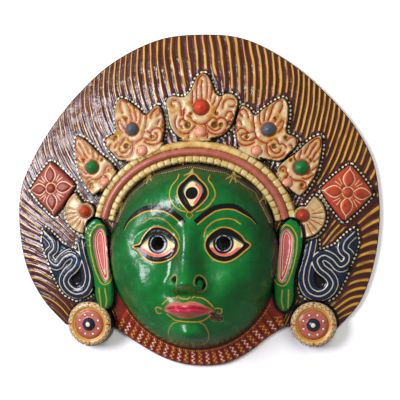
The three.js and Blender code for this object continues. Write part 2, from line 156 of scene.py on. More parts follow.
GOLD_LINES = [
    [(16.5, -34.5), (17.5, -29), (21, -24), (26.5, -20), (32.5, -18), (39, -17.5), (45, -19), (50, -22.5)],
    [(-10, 24.5), (-10.5, 20), (-14.5, 14.5), (-16.5, 7.5), (-15.5, 1.5), (-11.5, -5), (-5.5, -9.5),
     (-0.5, -11)],
    [(19.5, 23), (19, 19.5), (23, 14.5), (26.5, 7.5), (26.5, 3), (22.5, -4), (17, -8.5), (9.5, -11)],
    [(-19, -108), (-15.5, -111), (-11, -114), (-7, -114.5), (4, -115), (12, -115), (17, -113), (22, -109.5)],
    [(-23, -98.5), (-18.5, -94.5), (-14.5, -92.5), (-10.5, -92)],
    [(-9, -92), (-7.5, -90.5)],
    [(-5.5, -92), (-3.5, -93), (-0.5, -93), (2, -93), (3.5, -91.5)],
    [(6, -92), (8, -90.5)],
    [(10.5, -91.5), (15, -92), (19.5, -94.5), (22.5, -97.5), (25, -100.5)],
    [(-24.5, -103), (-27, -102), (-30, -102), (-30.5, -105), (-29, -108), (-25.5, -107.5)],
    [(26.5, -102.5), (29.5, -102), (32.5, -103), (32.5, -106.5), (30.5, -108)],
]
THIN_GOLD_LINES = [
    [(-42.5, -21.5), (-36.5, -18), (-27, -17), (-19.5, -20), (-12, -27.5), (-7.5, -32), (-5.5, -37.5)],
    [(6.8, -14), (3.5, -10.7), (0.2, -14), (3.5, -17.3), (6.8, -14)],
    [(-9, -115.6), (-13.5, -117), (-17.5, -121), (-20.5, -127), (-21.5, -133), (-20, -138), (-15.5, -142)],
    [(12.5, -116), (15.5, -118), (18, -123), (19, -129), (17, -135), (13, -139), (8, -141)],
    [(-15, -75), (-13.5, -72.5), (-9, -69.5), (-6.5, -73.5), (-6.5, -78), (-7, -81)],
    [(10.5, -79.5), (9.5, -76), (10, -72.5), (12, -70), (15, -71), (18, -74), (20, -78.5), (19.5, -82),
     (17.5, -85), (14.5, -86.5), (12, -85.5)],
]
LIPS = [
    (-22, -104), (-18.5, -99.5), (-13.5, -96.5), (-9, -95), (-5, -96), (-1.5, -97), (1.5, -95.5), (6.5, -95),
    (12.5, -96.5), (18.5, -99.5), (23, -102), (25.5, -104.5), (23, -107), (18, -108), (12.5, -109.5),
    (6.5, -111), (0.5, -111.5), (-6.5, -111), (-12, -109), (-17.5, -106.5),
]
MOUTH = [(-22, -104.5), (-16, -102.5), (-7.5, -101.5), (0, -102), (6.5, -101), (14, -102), (20, -103),
         (25, -104.5)]
NOSTRILS = [
    [(-9, -71), (-13, -74.5), (-10.5, -76.5), (-8, -78), (-7, -76), (-7.5, -72)],
    [(11, -78.5), (10.5, -73), (12.5, -71.5), (15, -72.5), (17.5, -75), (19, -78.5), (19, -82), (16.5, -84.5),
     (15.5, -83.5), (16.5, -80), (16, -76.5), (13.5, -74.5), (12.5, -77), (13, -80)],
]
PAINT_CHIP = [(22, -105.5), (26, -104.8), (31, -108.5), (33, -114), (27.5, -115.5), (21.5, -112)]
SIDE_LOCKS = [
    [(77.5, -7), (80.5, -21.5), (79, -34.5), (82, -48), (80, -59.5), (80.5, -71.5)],
    [(-81.5, -21.5), (-83.5, -35.5), (-78.5, -49), (-81.5, -61)],
]
TASSELS = [(-41.5, 28, -15), (2, 30.5, 0), (40, 28.5, 12), (68, 8, 35), (-69, -2.5, -40)]

# The crown's ring
RING = {"x": 1.5, "y": -30, "half_width": 90, "height": 77, "from": 8, "to": 172}
RING_HALF = 11
RING_RISE = 4.2
BAND_HALF = 3.4
BAND_RISE = 4.4
PEARL_ROW = 7.3
PEARL_PITCH = 7.6
PEARL_RISE = 2.1

# Behind the middle leaf a plain roll takes the place of the outer pearls
ROLL_FROM = -35
ROLL_TO = 50
ROLL_HALF = 3.6
ROLL_RISE = 2.4

# The stones: domed, with a small nipple on top; those of the studs are plain half-rounds
STONE_RISE = 5.2
NIPPLE_RISE = 2
PINK_STONE_RISE = 3.4
STUD_STONE = {"radius": 5, "rise": 4.2}

# The crown's leaves: outline round the gem, lines between the puffed forms, pits, and a small pink gem
MIDDLE_LEAF = {
    "outline": [
        (0.5, 34.5), (6.5, 31.5), (10, 24), (13.5, 15.5), (18, 11.5), (24, 14), (31, 13), (36, 7), (34, -7),
        (30, -19), (19, -29), (-19, -31), (-30, -20), (-33, -8), (-35, 8), (-30, 12), (-18, 11),
        (-12.5, 15.5), (-8.5, 24), (-5.5, 31),
    ],
    "lines": [
        [(-4.2, 8), (-4.5, 14.5), (-4.2, 23.5), (-2.4, 30), (0.8, 32), (4, 30.4), (5.4, 25), (5.8, 17),
         (6, 8.5)],
        [(0.3, 26.7), (0, 19.8), (0.5, 14.5), (0.8, 9.3)],
        [(10.3, 22.5), (10.2, 14.5), (9, 6)],
        [(14, 9.3), (13.5, 6), (11.7, 3)],
        [(-8.7, 16), (-8.5, 11.4), (-8.8, 4)],
        [(-27.2, 7.1), (-23, 6.9), (-20, 3), (-19.4, -2.4), (-19, -7.7)],
        [(-29.4, 4.5), (-28.8, 1.9), (-26.7, 1.6)],
        [(20.4, 9.8), (18.3, 5), (15.6, -0.8), (13.8, -6)],
        [(21.4, -0.8), (22.2, 4.5), (25.7, 7.7), (29.9, 7.9), (33.3, 6), (33.6, 2.9), (31.5, 0.3),
         (28.6, 0.5)],
        [(24.3, -8.7), (26, -5.3), (28.8, -4.2), (31.2, -5.8), (31.2, -8.7), (29.6, -10.6)],
        [(-13, -8.5), (-10, -9.5), (-7.1, -13.5), (-3.4, -16.2), (1.9, -16.8), (6.1, -15.2), (9.3, -11.9)],
        [(-23.5, -8.7), (-25.2, -14), (-24.3, -18.8), (-21.4, -23), (-16.7, -25.8), (-11.4, -24.9),
         (-7.7, -21.7), (-4.8, -18)],
        [(-16.1, -2.4), (-16.7, -7.7), (-16.1, -12.4), (-13.5, -14.6)],
        [(-16.9, -10.8), (-19.8, -12.4), (-20.9, -16.7), (-18, -20.1)],
        [(9.3, -11.9), (12.4, -10.2), (15.1, -11.9), (15.2, -15.4)],
        [(16.2, -13.6), (16.9, -11.9), (19.6, -10.4), (23.5, -11.5), (26.1, -15.9), (25.1, -21.2),
         (21.4, -25.2), (16.1, -26.7), (10.8, -25.8), (7.7, -23), (4.5, -17.7)],
        [(6.9, -16.9), (9.8, -20.9), (13.5, -23.1), (16.7, -22.8), (19.6, -20.9)],
        [(-11.6, -26), (-11.6, -30)],
        [(7, -26.2), (7, -30)],
    ],
    "pits": [(-12.4, -17.6, 3), (13.6, -17.6, 3.2), (20, -17.4, 2.2), (-9.8, -6.6, 1.5), (15.6, -6.6, 1.8),
             (28.6, -15.5, 2.6)],
    "pink": (0, -24.5, 5),
}
UPPER_LEAF = {
    "outline": [
        (14, 31.5), (18.2, 25.5), (18.7, 9.8), (17.5, -3), (23, -5.5), (29, -10), (26, -17.5), (19.8, -24),
        (12, -31), (-27, -19), (-32.9, 0), (-31.7, 11), (-26, 24), (-20, 21.5), (-13.5, 14.5), (-6, 20.5),
        (6.4, 29),
    ],
    "lines": [
        [(10.5, 16.9), (12.5, 21.4), (13, 25.9), (11.5, 28.4), (8.5, 28.2), (5.5, 25.4), (3.5, 21.4), (2, 16),
         (-0.5, 9)],
        [(-0.5, 24.5), (-1.5, 21.9), (-3, 18), (-4, 13), (-4.5, 8.5)],
        [(-8.5, 18.5), (-8.7, 15), (-9, 11), (-7.8, 5)],
        [(-14.7, 13), (-14.5, 8), (-13.7, 2), (-13.5, -2), (-16.5, -2.5), (-19, -4), (-21, -1), (-24.4, 1),
         (-28.4, 0.5), (-31, -3.5), (-31, -8), (-29, -12.5), (-25.4, -15), (-21, -15.5), (-17, -14.5),
         (-13.5, -12.5)],
        [(9, 12), (5.5, 7.5)],
        [(12.5, 9), (9.6, 4), (8, 1)],
        [(14.7, 8), (14, 4), (12.5, 0.5), (9.5, -2.5)],
        [(-19, 11), (-20.5, 16), (-23.4, 19.4), (-26, 20), (-28.2, 17.4), (-27.4, 14.5), (-25.4, 13)],
        [(-26, 5), (-27.4, 8.5), (-29.4, 9), (-31, 7), (-30.6, 4.5)],
        [(-19, -4), (-22.4, -4), (-26, -5.5), (-26.4, -8), (-24, -10.5), (-19.4, -11), (-15, -10),
         (-12, -7.5)],
        [(3.5, -10), (0.5, -12.5), (-3, -13.5), (-7.5, -11.5), (-11, -8.5), (-13, -3)],
        [(-1.5, -14.5), (-1.5, -18.5), (-0.5, -23.4), (3, -27), (8.5, -27.4), (13, -26), (16, -23)],
        [(17, -17.5), (15.5, -15), (13, -14), (10.5, -15), (9.3, -12.5), (8.5, -10.5), (6.5, -9.5)],
        [(12, -19), (11, -22), (7.5, -23.4), (4, -21.4), (1, -17)],
        [(23.4, -7.5), (19.4, -9), (17.4, -11)],
        [(26.5, -13), (27, -10.5), (25.8, -8)],
        [(22.6, -18), (22.8, -16), (20.5, -15.4)],
    ],
    "pits": [(5.4, -16.5, 2.6), (-20.6, -7.4, 2), (-31, 1.8, 1.6), (16.4, -8, 1.8), (6, 10.8, 1.4)],
    "pink": (-11.2, -21.2, 4.6),
}
LOWER_LEAF = {
    "outline": [
        (18.5, 31.5), (20, 23), (18, 8), (14, -7), (9.6, -14.5), (4, -23), (-2, -28), (-24, -4), (-21.5, 2),
        (-14.5, 8.5), (-6, 14.5), (4, 24), (10, 28.5),
    ],
    "lines": [
        [(7.7, 22.9), (10.5, 25.7), (14.3, 28.3), (17, 28), (18.3, 25.7), (18, 20.6), (16.1, 16.8),
         (13.3, 13.6), (11.4, 9.8), (8.6, 5)],
        [(6.8, 20.6), (4.9, 17.3), (3, 13.6)],
        [(14.5, 23.6), (11.4, 19.2), (9.1, 15.4), (8.2, 12.6), (5.4, 9)],
        [(0.2, 17.8), (-0.7, 13.6), (-2.1, 9.3)],
        [(-6.3, 13.6), (-6.8, 9.8), (-5.5, 7)],
        [(17, 9.8), (14.7, 7.5), (12.2, 5.6)],
        [(14.6, 0.9), (12.9, -0.7), (11, -1.9), (9.1, -4.2), (6, -6.5)],
        [(11.5, -7), (9.1, -9), (4.4, -11.2), (1.6, -10.3)],
        [(-10.5, -9.3), (-7.2, -12.1), (-3.5, -12.9), (1.2, -13.3), (4, -15.4), (4.6, -18.2), (2.4, -20.6),
         (-0.4, -20.2)],
        [(-20.3, -2.8), (-19.4, 0), (-16.6, 0.7), (-14.5, -1.4), (-14.3, -4.7), (-12.4, -7), (-15.2, -9.8)],
    ],
    "pits": [(0.8, -17, 2), (-17.4, -3.3, 1.3), (8.4, 7.6, 1.2), (-10, 7, 1.4)],
    "pink": (-13.7, -15, 4.3),
}
LEAVES = [
    {"leaf": MIDDLE_LEAF, "x": 8.2, "y": 90.5, "side": 1, "gem": 7.4, "tint": 0},
    {"leaf": UPPER_LEAF, "x": -60.3, "y": 69.5, "side": -1, "gem": 6.3, "tint": 1},
    {"leaf": UPPER_LEAF, "x": 74.2, "y": 68.5, "side": 1, "gem": 6.6, "tint": 1},
    {"leaf": LOWER_LEAF, "x": -100.7, "y": 32.5, "side": -1, "gem": 6.6, "tint": 2},
    {"leaf": LOWER_LEAF, "x": 105.9, "y": 31.5, "side": 1, "gem": 7.2, "tint": 2},
]
LEAF_HEIGHT = 6.5
SCROLL_RISE = 2.1
PIT_DEPTH = 2.4

FANS = [{"x": -107, "y": -11.5, "side": -1}, {"x": 107.2, "y": -15, "side": 1}]
FAN_RADIUS = 22.5
FAN_FROM = 62
FAN_TO = -98
FAN_GEM = 5.7
FAN_BACK = 9.6
FAN_NOTCH = 12
FAN_HEIGHT = 7
FAN_FLUTES = 20
FLUTE_RISE = 0.7

DIAMONDS = [{"x": -144.4, "y": 11.7, "side": -1}, {"x": 150.3, "y": 7.3, "side": 1}]
DIAMOND_CORNERS = [(2.3, 28.3), (-27.2, 3.1), (-3.8, -29.3), (25, -1.2)]
DIAMOND_TURN = math.radians(5)
DIAMOND_HEIGHT = 5
DIAMOND_BOW = 0.06
PETAL = {"from": 5, "length": 18, "half_width": 5.6, "rise": 1.2, "groove": 0.8}

RIBBON = [
    (109.8, -41), (105.9, -56), (102, -69), (102, -83), (105.4, -92.6), (114.6, -98.3), (125.3, -99.7),
    (136, -95), (140.8, -90), (144.6, -82.5), (149, -73), (153.3, -61), (158, -49.5), (160, -41.7),
    (158, -27), (151.4, -31), (144.6, -37), (138, -43.7), (128.2, -48), (122.4, -49.6), (121.4, -36.5),
]
RIBBON_FOLD = [
    (115.5, -40), (112.5, -54), (108.5, -68), (108, -80), (113, -90), (123, -93.5), (132, -89), (136, -81),
    (132, -73), (124, -66), (121, -58), (127, -53.5), (135, -57), (143, -65), (150, -61), (151.5, -54),
    (146, -48), (147, -41), (156.5, -31),
]
RIBBON_GAP = [
    (118, -67.5), (120.5, -71.5), (125.5, -75), (128.5, -79), (128, -83), (125, -86), (121.5, -86),
    (118.5, -83), (117, -78), (117, -72),
]
RIBBON_HEIGHT = 4.5
FOLD_HALF = 6.2
FOLD_RISE = 3
GAP_DEPTH = 3.2
RIBBON_SIDES = [(-1, 4.5), (1, 0)]

EAR = [
    (95, -18), (104, -23), (107.5, -33), (106, -51), (99.6, -76), (98, -98.5), (94, -107), (88, -109.7),
    (82, -105), (79, -95), (79, -80), (82, -60), (84, -45), (85, -28),
]
EAR_BOWL = [
    (92, -27), (98, -34), (98.5, -46), (96, -60), (92, -73), (88, -80), (84, -78), (83.5, -66), (84.5, -50),
    (85.5, -36), (88, -29),
]
EAR_HEIGHT = 9
BOWL_DEPTH = 5
BOWL_ROLL = 1.6
LOBE_LINES = [
    [(87.5, -87.5), (86.5, -99), (88, -105.5)],
    [(93.5, -87), (93, -98), (92.5, -105)],
]

EARRINGS = [(-105.8, -123.5), (116.9, -121.5)]
EARRING_RADIUS = 22.6
EARRING_PROFILE = [
    (0, 26.5), (2.3, 26), (4.5, 24.5), (6, 22), (7.5, 21.4), (13, 21.2), (14.5, 19.4), (16.2, 19.4),
    (17.5, 21.2), (20, 21), (22, 19), (22.6, 17),
]
EARRING_LEAN = 0.16


# Lines and distances
def smooth_line(points, step=1.6, closed=False):
    """A line through the points without corners, in equal steps of about that length."""
    p = np.array(points, float)
    if closed:
        p = np.vstack([p[-1], p, p[0], p[1]])
    else:
        p = np.vstack([2 * p[0] - p[1], p, 2 * p[-1] - p[-2]])
    share = np.linspace(0, 1, 16, endpoint=False)[:, None]
    parts = []
    for a, b, c, d in zip(p, p[1:], p[2:], p[3:]):
        before, here, after = (math.sqrt(math.dist(m, n)) for m, n in ((a, b), (b, c), (c, d)))
        leave = ((b - a) / before - (c - a) / (before + here) + (c - b) / here) * here
        arrive = ((c - b) / here - (d - b) / (here + after) + (d - c) / after) * here
        bend = 3 * (c - b) - 2 * leave - arrive
        twist = 2 * (b - c) + leave + arrive
        parts.append(b + leave * share + bend * share**2 + twist * share**3)
    return even_steps(np.vstack([*parts, p[-2]]), step)


def even_steps(line, step):
    """The same line with its points in equal steps of about that length."""
    run = np.concatenate([[0], np.cumsum(np.hypot(*np.diff(line, axis=0).T))])
    at = np.linspace(0, run[-1], max(round(run[-1] / step), 1) + 1)
    return np.column_stack([np.interp(at, run, line[:, 0]), np.interp(at, run, line[:, 1])])


def trace(line, x, y, reach=9.0):
    """For each point within reach: gap to the line, positive at its left, how far along, nearest point."""
    gap = np.full(x.shape, -FAR)
    run = np.zeros(x.shape)
    foot = np.column_stack([x, y])
    low = line.min(axis=0) - reach
    high = line.max(axis=0) + reach
    near = np.flatnonzero((x > low[0]) & (x < high[0]) & (y > low[1]) & (y < high[1]))
    px, py = x[near], y[near]
    best = np.full(px.shape, FAR)
    start = 0.0
    for (ax, ay), (bx, by) in zip(line, line[1:]):
        ux, uy = bx - ax, by - ay
        length = math.hypot(ux, uy)
        share = np.clip(((px - ax) * ux + (py - ay) * uy) / length**2, 0, 1)
        dx, dy = px - ax - share * ux, py - ay - share * uy
        distance = np.hypot(dx, dy)
        closer = distance < best
        spot = near[closer]
        best[closer] = distance[closer]
        gap[spot] = np.copysign(distance, ux * dy - uy * dx)[closer]
        run[spot] = start + share[closer] * length
        foot[spot] = np.column_stack([px - dx, py - dy])[closer]
        start += length
    return gap, run, foot


def nearest_of(lines, x, y):
    """Signed gap to the nearest of several lines, its plain size, and the share of that line run through."""
    gap = np.full(x.shape, FAR)
    share = np.zeros(x.shape)
    for line in lines:
        line = smooth_line(line)
        mine, run, _ = trace(line, x, y)
        length = np.hypot(*np.diff(line, axis=0).T).sum()
        closer = np.abs(mine) < np.abs(gap)
        gap[closer] = mine[closer]
        share[closer] = run[closer] / length
    return np.column_stack([gap, np.abs(gap), share])


def is_inside(line, x, y):
    """Whether each point lies inside a closed line: a ray from it crosses the line an odd number of times."""
    odd = np.zeros(x.shape, bool)
    for (ax, ay), (bx, by) in zip(line, line[1:]):
        if ay != by:
            odd ^= ((ay > y) != (by > y)) & (x < ax + (y - ay) * (bx - ax) / (by - ay))
    return odd


def depth_in(line, x, y, reach=9.0):
    """How deep inside a closed line each point lies; outside it is negative."""
    gap, run, _ = trace(line, x, y, reach)
    return np.where(is_inside(line, x, y), 1, -1) * np.abs(gap), run


def deepest(lines, x, y, reach=9.0):
    """How deep each point lies inside the closed line that holds it deepest."""
    return np.max([depth_in(line, x, y, reach)[0] for line in lines], axis=0)


def deepest_in(shapes, x, y):
    """The same for the corners of shapes whose outline is smooth."""
    return deepest([smooth_line(shape, closed=True) for shape in shapes], x, y)


def closed(points):
    return np.vstack([points, points[0]])


def placed(points, item):
    """Points given from the middle of an item, at its place and on its side."""
    return [(item["x"] + item["side"] * x, item["y"] + y) for x, y in points]


def mirrored(points, side, shift=0):
    return [(side * x + shift, y) for x, y in points]


HAIR_LINE = smooth_line(HAIR_EDGE, 2)
COLLAR_LINE = smooth_line(COLLAR_EDGE, 2)
EDGE = even_steps(closed(np.vstack([HAIR_LINE, COLLAR_LINE])), 2)
EDGE = HAIR_CENTRE + (EDGE - HAIR_CENTRE) * EDGE_SCALE
HAIR_RUN = np.hypot(*np.diff(HAIR_LINE, axis=0).T).sum()


def edge_reach(centre, x, y):
    """How far the mask's edge is from a centre, in the direction of each point."""
    angles = np.arctan2(EDGE[:, 1] - centre[1], EDGE[:, 0] - centre[0])
    radii = np.hypot(EDGE[:, 0] - centre[0], EDGE[:, 1] - centre[1])
    return np.interp(np.arctan2(y - centre[1], x - centre[0]), angles, radii, period=2 * math.pi)


# Heights
def ease(share):
    """A soft step from 0 to 1."""
    s = np.clip(share, 0, 1)
    return s * s * (3 - 2 * s)


def bell(distance, width, power=2):
    """1 on the line and soft to 0 beside it."""
    return np.exp(-(np.abs(distance / width) ** power))


def bulge(distance, half):
    """A half-round section: 1 at the middle and 0 from its half-width on."""
    return np.sqrt(np.clip(1 - (distance / half) ** 2, 0, 1))


def drift(x, y, size, seed):
    """A slow, uneven rise and fall between about -1 and 1, with bumps of that size."""
    total = np.zeros(np.shape(x))
    for k in range(5):
        turn = 2.4 * k + seed
        pace = 2 * math.pi / size * (0.7 + 0.15 * k)
        total += np.sin(pace * (x * math.cos(turn) + y * math.sin(turn)) + 1.7 * seed + 2.1 * k)
    return total / 3


def dome_height(x, y):
    distance = np.hypot(x - HAIR_CENTRE[0], y - HAIR_CENTRE[1])
    share = np.minimum(distance / edge_reach(HAIR_CENTRE, x, y), 1)
    return RIM_HEIGHT + DOME_RISE * (1 - share**DOME_POWER)


def egg_share(x, y, margin=0):
    """How far out each point lies on the face's egg: 0 in its middle and 1 on its outline."""
    tall = np.where(y > FACE_CENTRE[1], FACE_UP, FACE_DOWN) - margin
    return np.hypot((x - FACE_CENTRE[0]) / (FACE_HALF_WIDTH - margin), (y - FACE_CENTRE[1]) / tall)


def nose_rise(across, y):
    down = np.clip((NOSE["top"] - y) / (NOSE["top"] - NOSE["tip"]), 0, 1)
    under = ease((y - NOSE["foot"]) / (NOSE["tip"] + NOSE["rounding"] - NOSE["foot"]))
    ridge = 0.25 * ease(3 * down) + 0.75 * down**1.3
    return NOSE["rise"] * ridge * under * bell(across, NOSE["bridge"] + NOSE["flare"] * down, 2.6)


def lip_rise(x, y):
    lips = deepest_in([LIPS], x, y)
    parting, _, _ = trace(smooth_line(MOUTH), x, y)
    pout = 1 - bell(np.maximum(lips, 0), 5)
    return LIP_RISE * pout - PARTING_DEPTH * bell(parting, 1.6) * ease(lips / 2)


def eye_rise(x, y):
    across = np.abs(x - FACE_CENTRE[0]) - EYE["out"]
    away = np.hypot(across / EYE["half_width"], (y - EYE["y"]) / EYE["half_height"])
    lids = deepest_in(LIDS, x, y)
    whites = deepest_in(WHITES, x, y)
    ball = EYE["ball"] * np.maximum(1 - away**2, 0)
    return ball + EYE["lid"] * bell(lids + 0.4, 1.4) - EYE["white"] * ease(whites / 1.5)


def face_height(x, y, outside=True):
    """The face's surface; without its finer features it is also the form of the hollow."""
    share = np.minimum(egg_share(x, y), 1)
    profile = (1 - share**EGG_POWER) ** EGG_ROUNDING
    across = x - FACE_CENTRE[0]
    features = nose_rise(across, y)
    for mx, my, wide, tall, rise in FACE_MASSES:
        features = features + rise * bell(across - mx, wide) * bell(y - my, tall)
    if outside:
        nostrils = deepest_in(NOSTRILS, x, y)
        chip = deepest_in([PAINT_CHIP], x, y)
        features = features + lip_rise(x, y) + eye_rise(x, y) - NOSTRIL_DEPTH * ease(nostrils / 1.6)
        features = features - CHIP_DEPTH * ease(chip / 1.2)
        features = features + UNEVENNESS * drift(x, y, 19, 2) - FACE_SETBACK
    dome = dome_height(x, y)
    return dome + (FACE_LEVEL - dome) * profile + features * np.minimum(2 * profile, 1)


def hollow_height(x, y):
    """The inner surface: it follows the hair, and inside the egg the face without its lips and eyeballs."""
    spread = FACE_HALF_WIDTH / (FACE_HALF_WIDTH - HOLLOW_MARGIN)
    wide = FACE_CENTRE[0] + (x - FACE_CENTRE[0]) * spread
    high = FACE_CENTRE[1] + (y - FACE_CENTRE[1]) * spread
    behind_face = face_height(wide, high, outside=False) - FACE_WALL
    behind_hair = dome_height(x, y) - HAIR_WALL
    height = np.where(egg_share(x, y, HOLLOW_MARGIN) < 1, behind_face, behind_hair)
    return np.maximum(height, LEAST_HOLLOW)


# Hair
def terms(x, y):
    """The powers of x and y, up to the fourth together, and their slopes; for the map of the combed hair."""
    u, v = x / 100, y / 100
    rows = [(i, j) for i in range(5) for j in range(5 - i) if i + j]
    value = [u**i * v**j for i, j in rows]
    slope_x = [i * u ** max(i - 1, 0) * v**j / 100 for i, j in rows]
    slope_y = [j * u**i * v ** max(j - 1, 0) / 100 for i, j in rows]
    return np.array(value), np.array(slope_x), np.array(slope_y)


def comb_map():
    """Weights of the terms whose sum counts strands: level along a strand, one more per pitch across it."""
    x, y, lean = np.array(COMB, float).T
    lean = np.radians(lean)
    _, slope_x, slope_y = terms(x, y)
    along = slope_x * np.sin(lean) + slope_y * np.cos(lean)
    across = slope_x * np.cos(lean) - slope_y * np.sin(lean)
    evenness = 0.4
    left = np.hstack([along, evenness * across]).T
    right = np.concatenate([np.zeros(len(x)), np.full(len(x), evenness / STRAND_PITCH)])
    return np.linalg.lstsq(left, right, rcond=None)[0]


def strand_count(x, y):
    """The number of strands up to each point, a little wavy as combed hair is."""
    wave = 0.09 * drift(x, y, 40, 5) + 0.02 * drift(x, y, 17, 2)
    return np.tensordot(COMB_MAP, terms(x, y)[0], axes=1) + wave


COMB_MAP = comb_map()


# Outlines of everything that stands on the shell
def ring_line():
    angles = np.radians(np.linspace(RING["from"], RING["to"], 160))
    x = RING["x"] + RING["half_width"] * np.cos(angles)
    y = RING["y"] + RING["height"] * np.sin(angles)
    return even_steps(np.column_stack([x, y]), 2)


def ring_outline():
    line = ring_line()
    way = np.gradient(line, axis=0)
    out = np.column_stack([way[:, 1], -way[:, 0]]) / np.hypot(way[:, 0], way[:, 1])[:, None]
    return closed(np.vstack([line + RING_HALF * out, (line - RING_HALF * out)[::-1]]))


def egg_line():
    angles = np.radians(np.linspace(0, 360, 240))
    tall = np.where(np.sin(angles) > 0, FACE_UP, FACE_DOWN)
    x = FACE_CENTRE[0] + FACE_HALF_WIDTH * np.cos(angles)
    y = FACE_CENTRE[1] + tall * np.sin(angles)
    return np.column_stack([x, y])


def fan_outline(fan):
    angles = np.radians(np.linspace(FAN_FROM, FAN_TO, 40))
    x = fan["x"] + fan["side"] * FAN_RADIUS * np.cos(angles)
    y = fan["y"] + FAN_RADIUS * np.sin(angles)
    turns = np.radians(np.linspace(FAN_TO - FAN_NOTCH, FAN_FROM + FAN_NOTCH - 360, 20))
    back_x = fan["x"] + fan["side"] * FAN_BACK * np.cos(turns)
    back_y = fan["y"] + FAN_BACK * np.sin(turns)
    return closed(np.vstack([np.column_stack([x, y]), np.column_stack([back_x, back_y])]))


def diamond_outline(diamond):
    """Four sides that bow out a little between sharp corners."""
    corners = placed(DIAMOND_CORNERS, diamond)
    points = []
    for (ax, ay), (bx, by) in zip(corners, corners[1:] + corners[:1]):
        for share in (0.06, 0.2, 0.35, 0.5, 0.65, 0.8, 0.94):
            bow = 1 + DIAMOND_BOW * math.sin(math.pi * share)
            px = diamond["x"] + (ax + (bx - ax) * share - diamond["x"]) * bow
            py = diamond["y"] + (ay + (by - ay) * share - diamond["y"]) * bow
            points.append((px, py))
    return closed(np.array(points))


LEAF_LINES = [smooth_line(placed(item["leaf"]["outline"], item), closed=True) for item in LEAVES]
FAN_LINES = [fan_outline(fan) for fan in FANS]
DIAMOND_LINES = [diamond_outline(diamond) for diamond in DIAMONDS]
RIBBON_LINES = [closed(np.array(mirrored(RIBBON, side, shift))) for side, shift in RIBBON_SIDES]
EAR_LINES = [smooth_line(mirrored(EAR, side), closed=True) for side in (-1, 1)]
BOWL_LINES = [smooth_line(mirrored(EAR_BOWL, side), closed=True) for side in (-1, 1)]


def circle_line(x, y, radius):
    angles = np.radians(np.linspace(0, 360, 60))
    return np.column_stack([x + radius * np.cos(angles), y + radius * np.sin(angles)])


EARRING_LINES = [circle_line(x, y, EARRING_RADIUS) for x, y in EARRINGS]


def mask_depth(x, y):
    """How deep inside the mask's outline each point lies, its two pierced pupils left out."""
    depth, _ = depth_in(EDGE, x, y)
    for cx, cy in EARRINGS:
        depth = np.maximum(depth, EARRING_RADIUS - np.hypot(x - cx, y - cy))
    return np.minimum(depth, holes_depth(x, y))


def holes_depth(x, y):
    """How far outside the pierced pupils each point lies."""
    return np.min([np.hypot(x - cx, y - cy) - PUPIL_RADIUS for cx, cy in PUPIL_HOLES], axis=0)


def hollow_depth(x, y):
    """How deep inside the hollow's outline each point lies."""
    depth, _ = depth_in(EDGE, x, y)
    return np.minimum(depth - RIM_LAND, holes_depth(x, y))


# Sheets of mesh
def snapped_grid(step, depth_of, feet):
    """Grid points over the mask; those close to an outline are moved onto it."""
    columns, rows = (np.arange(-half, half + step, step) for half in GRID_HALF)
    gx, gy = np.meshgrid(columns, rows)
    shape = gx.shape
    x, y = gx.ravel().copy(), gy.ravel().copy()
    depth = depth_of(x, y)
    slope_y, slope_x = np.gradient(depth.reshape(shape), step)
    slope = slope_x.ravel() ** 2 + slope_y.ravel() ** 2 + 1e-9
    close = np.abs(depth) < SNAP * step
    x[close] -= (depth * slope_x.ravel() / slope)[close]
    y[close] -= (depth * slope_y.ravel() / slope)[close]
    depth[close] = 0
    free = ~close & (depth > 0)
    for line in feet:
        gap, _, foot = trace(line, x, y, reach=step)
        near = free & (np.abs(gap) < SNAP * step)
        x[near], y[near] = foot[near].T
        free &= ~near
    return x, y, depth, shape


def cut_sheet(step, depth_of, feet=()):
    """The grid's cells inside an outline, with the cells on the outline cut along it: points and faces."""
    x, y, depth, shape = snapped_grid(step, depth_of, feet)
    index = np.arange(x.size).reshape(shape)
    corners = np.stack([index[:-1, :-1], index[:-1, 1:], index[1:, 1:], index[1:, :-1]], axis=-1)
    corners = corners.reshape(-1, 4)
    deep = depth[corners]
    whole = (deep >= 0).all(axis=1) & (deep > 0).any(axis=1)
    faces = corners[whole].tolist()
    points = np.column_stack([x, y]).tolist()
    crossings = {}
    for cell in corners[(deep > 0).any(axis=1) & ~whole].tolist():
        face = []
        for a, b in zip(cell, cell[1:] + cell[:1]):
            if depth[a] >= 0:
                face.append(a)
            if depth[a] * depth[b] < 0:
                key = (min(a, b), max(a, b))
                if key not in crossings:
                    share = depth[a] / (depth[a] - depth[b])
                    crossings[key] = len(points)
                    points.append([x[a] + (x[b] - x[a]) * share, y[a] + (y[b] - y[a]) * share])
                face.append(crossings[key])
        if len(face) > 2:
            faces.append(face)
    used = np.unique(np.concatenate([np.array(face) for face in faces]))
    renamed = np.full(len(points), -1)
    renamed[used] = np.arange(len(used))
    return np.array(points)[used], [renamed[face].tolist() for face in faces]


def rims_of(faces):
    """The loops of points along a sheet's free edges, longest first."""
    edges = {(a, b) for face in faces for a, b in zip(face, face[1:] + face[:1])}
    after = {a: b for a, b in edges if (b, a) not in edges}
    loops = []
    while after:
        start, point = after.popitem()
        loop = [start]
        while point != start:
            loop.append(point)
            point = after.pop(point)
        loops.append(loop)
    return sorted(loops, key=len, reverse=True)


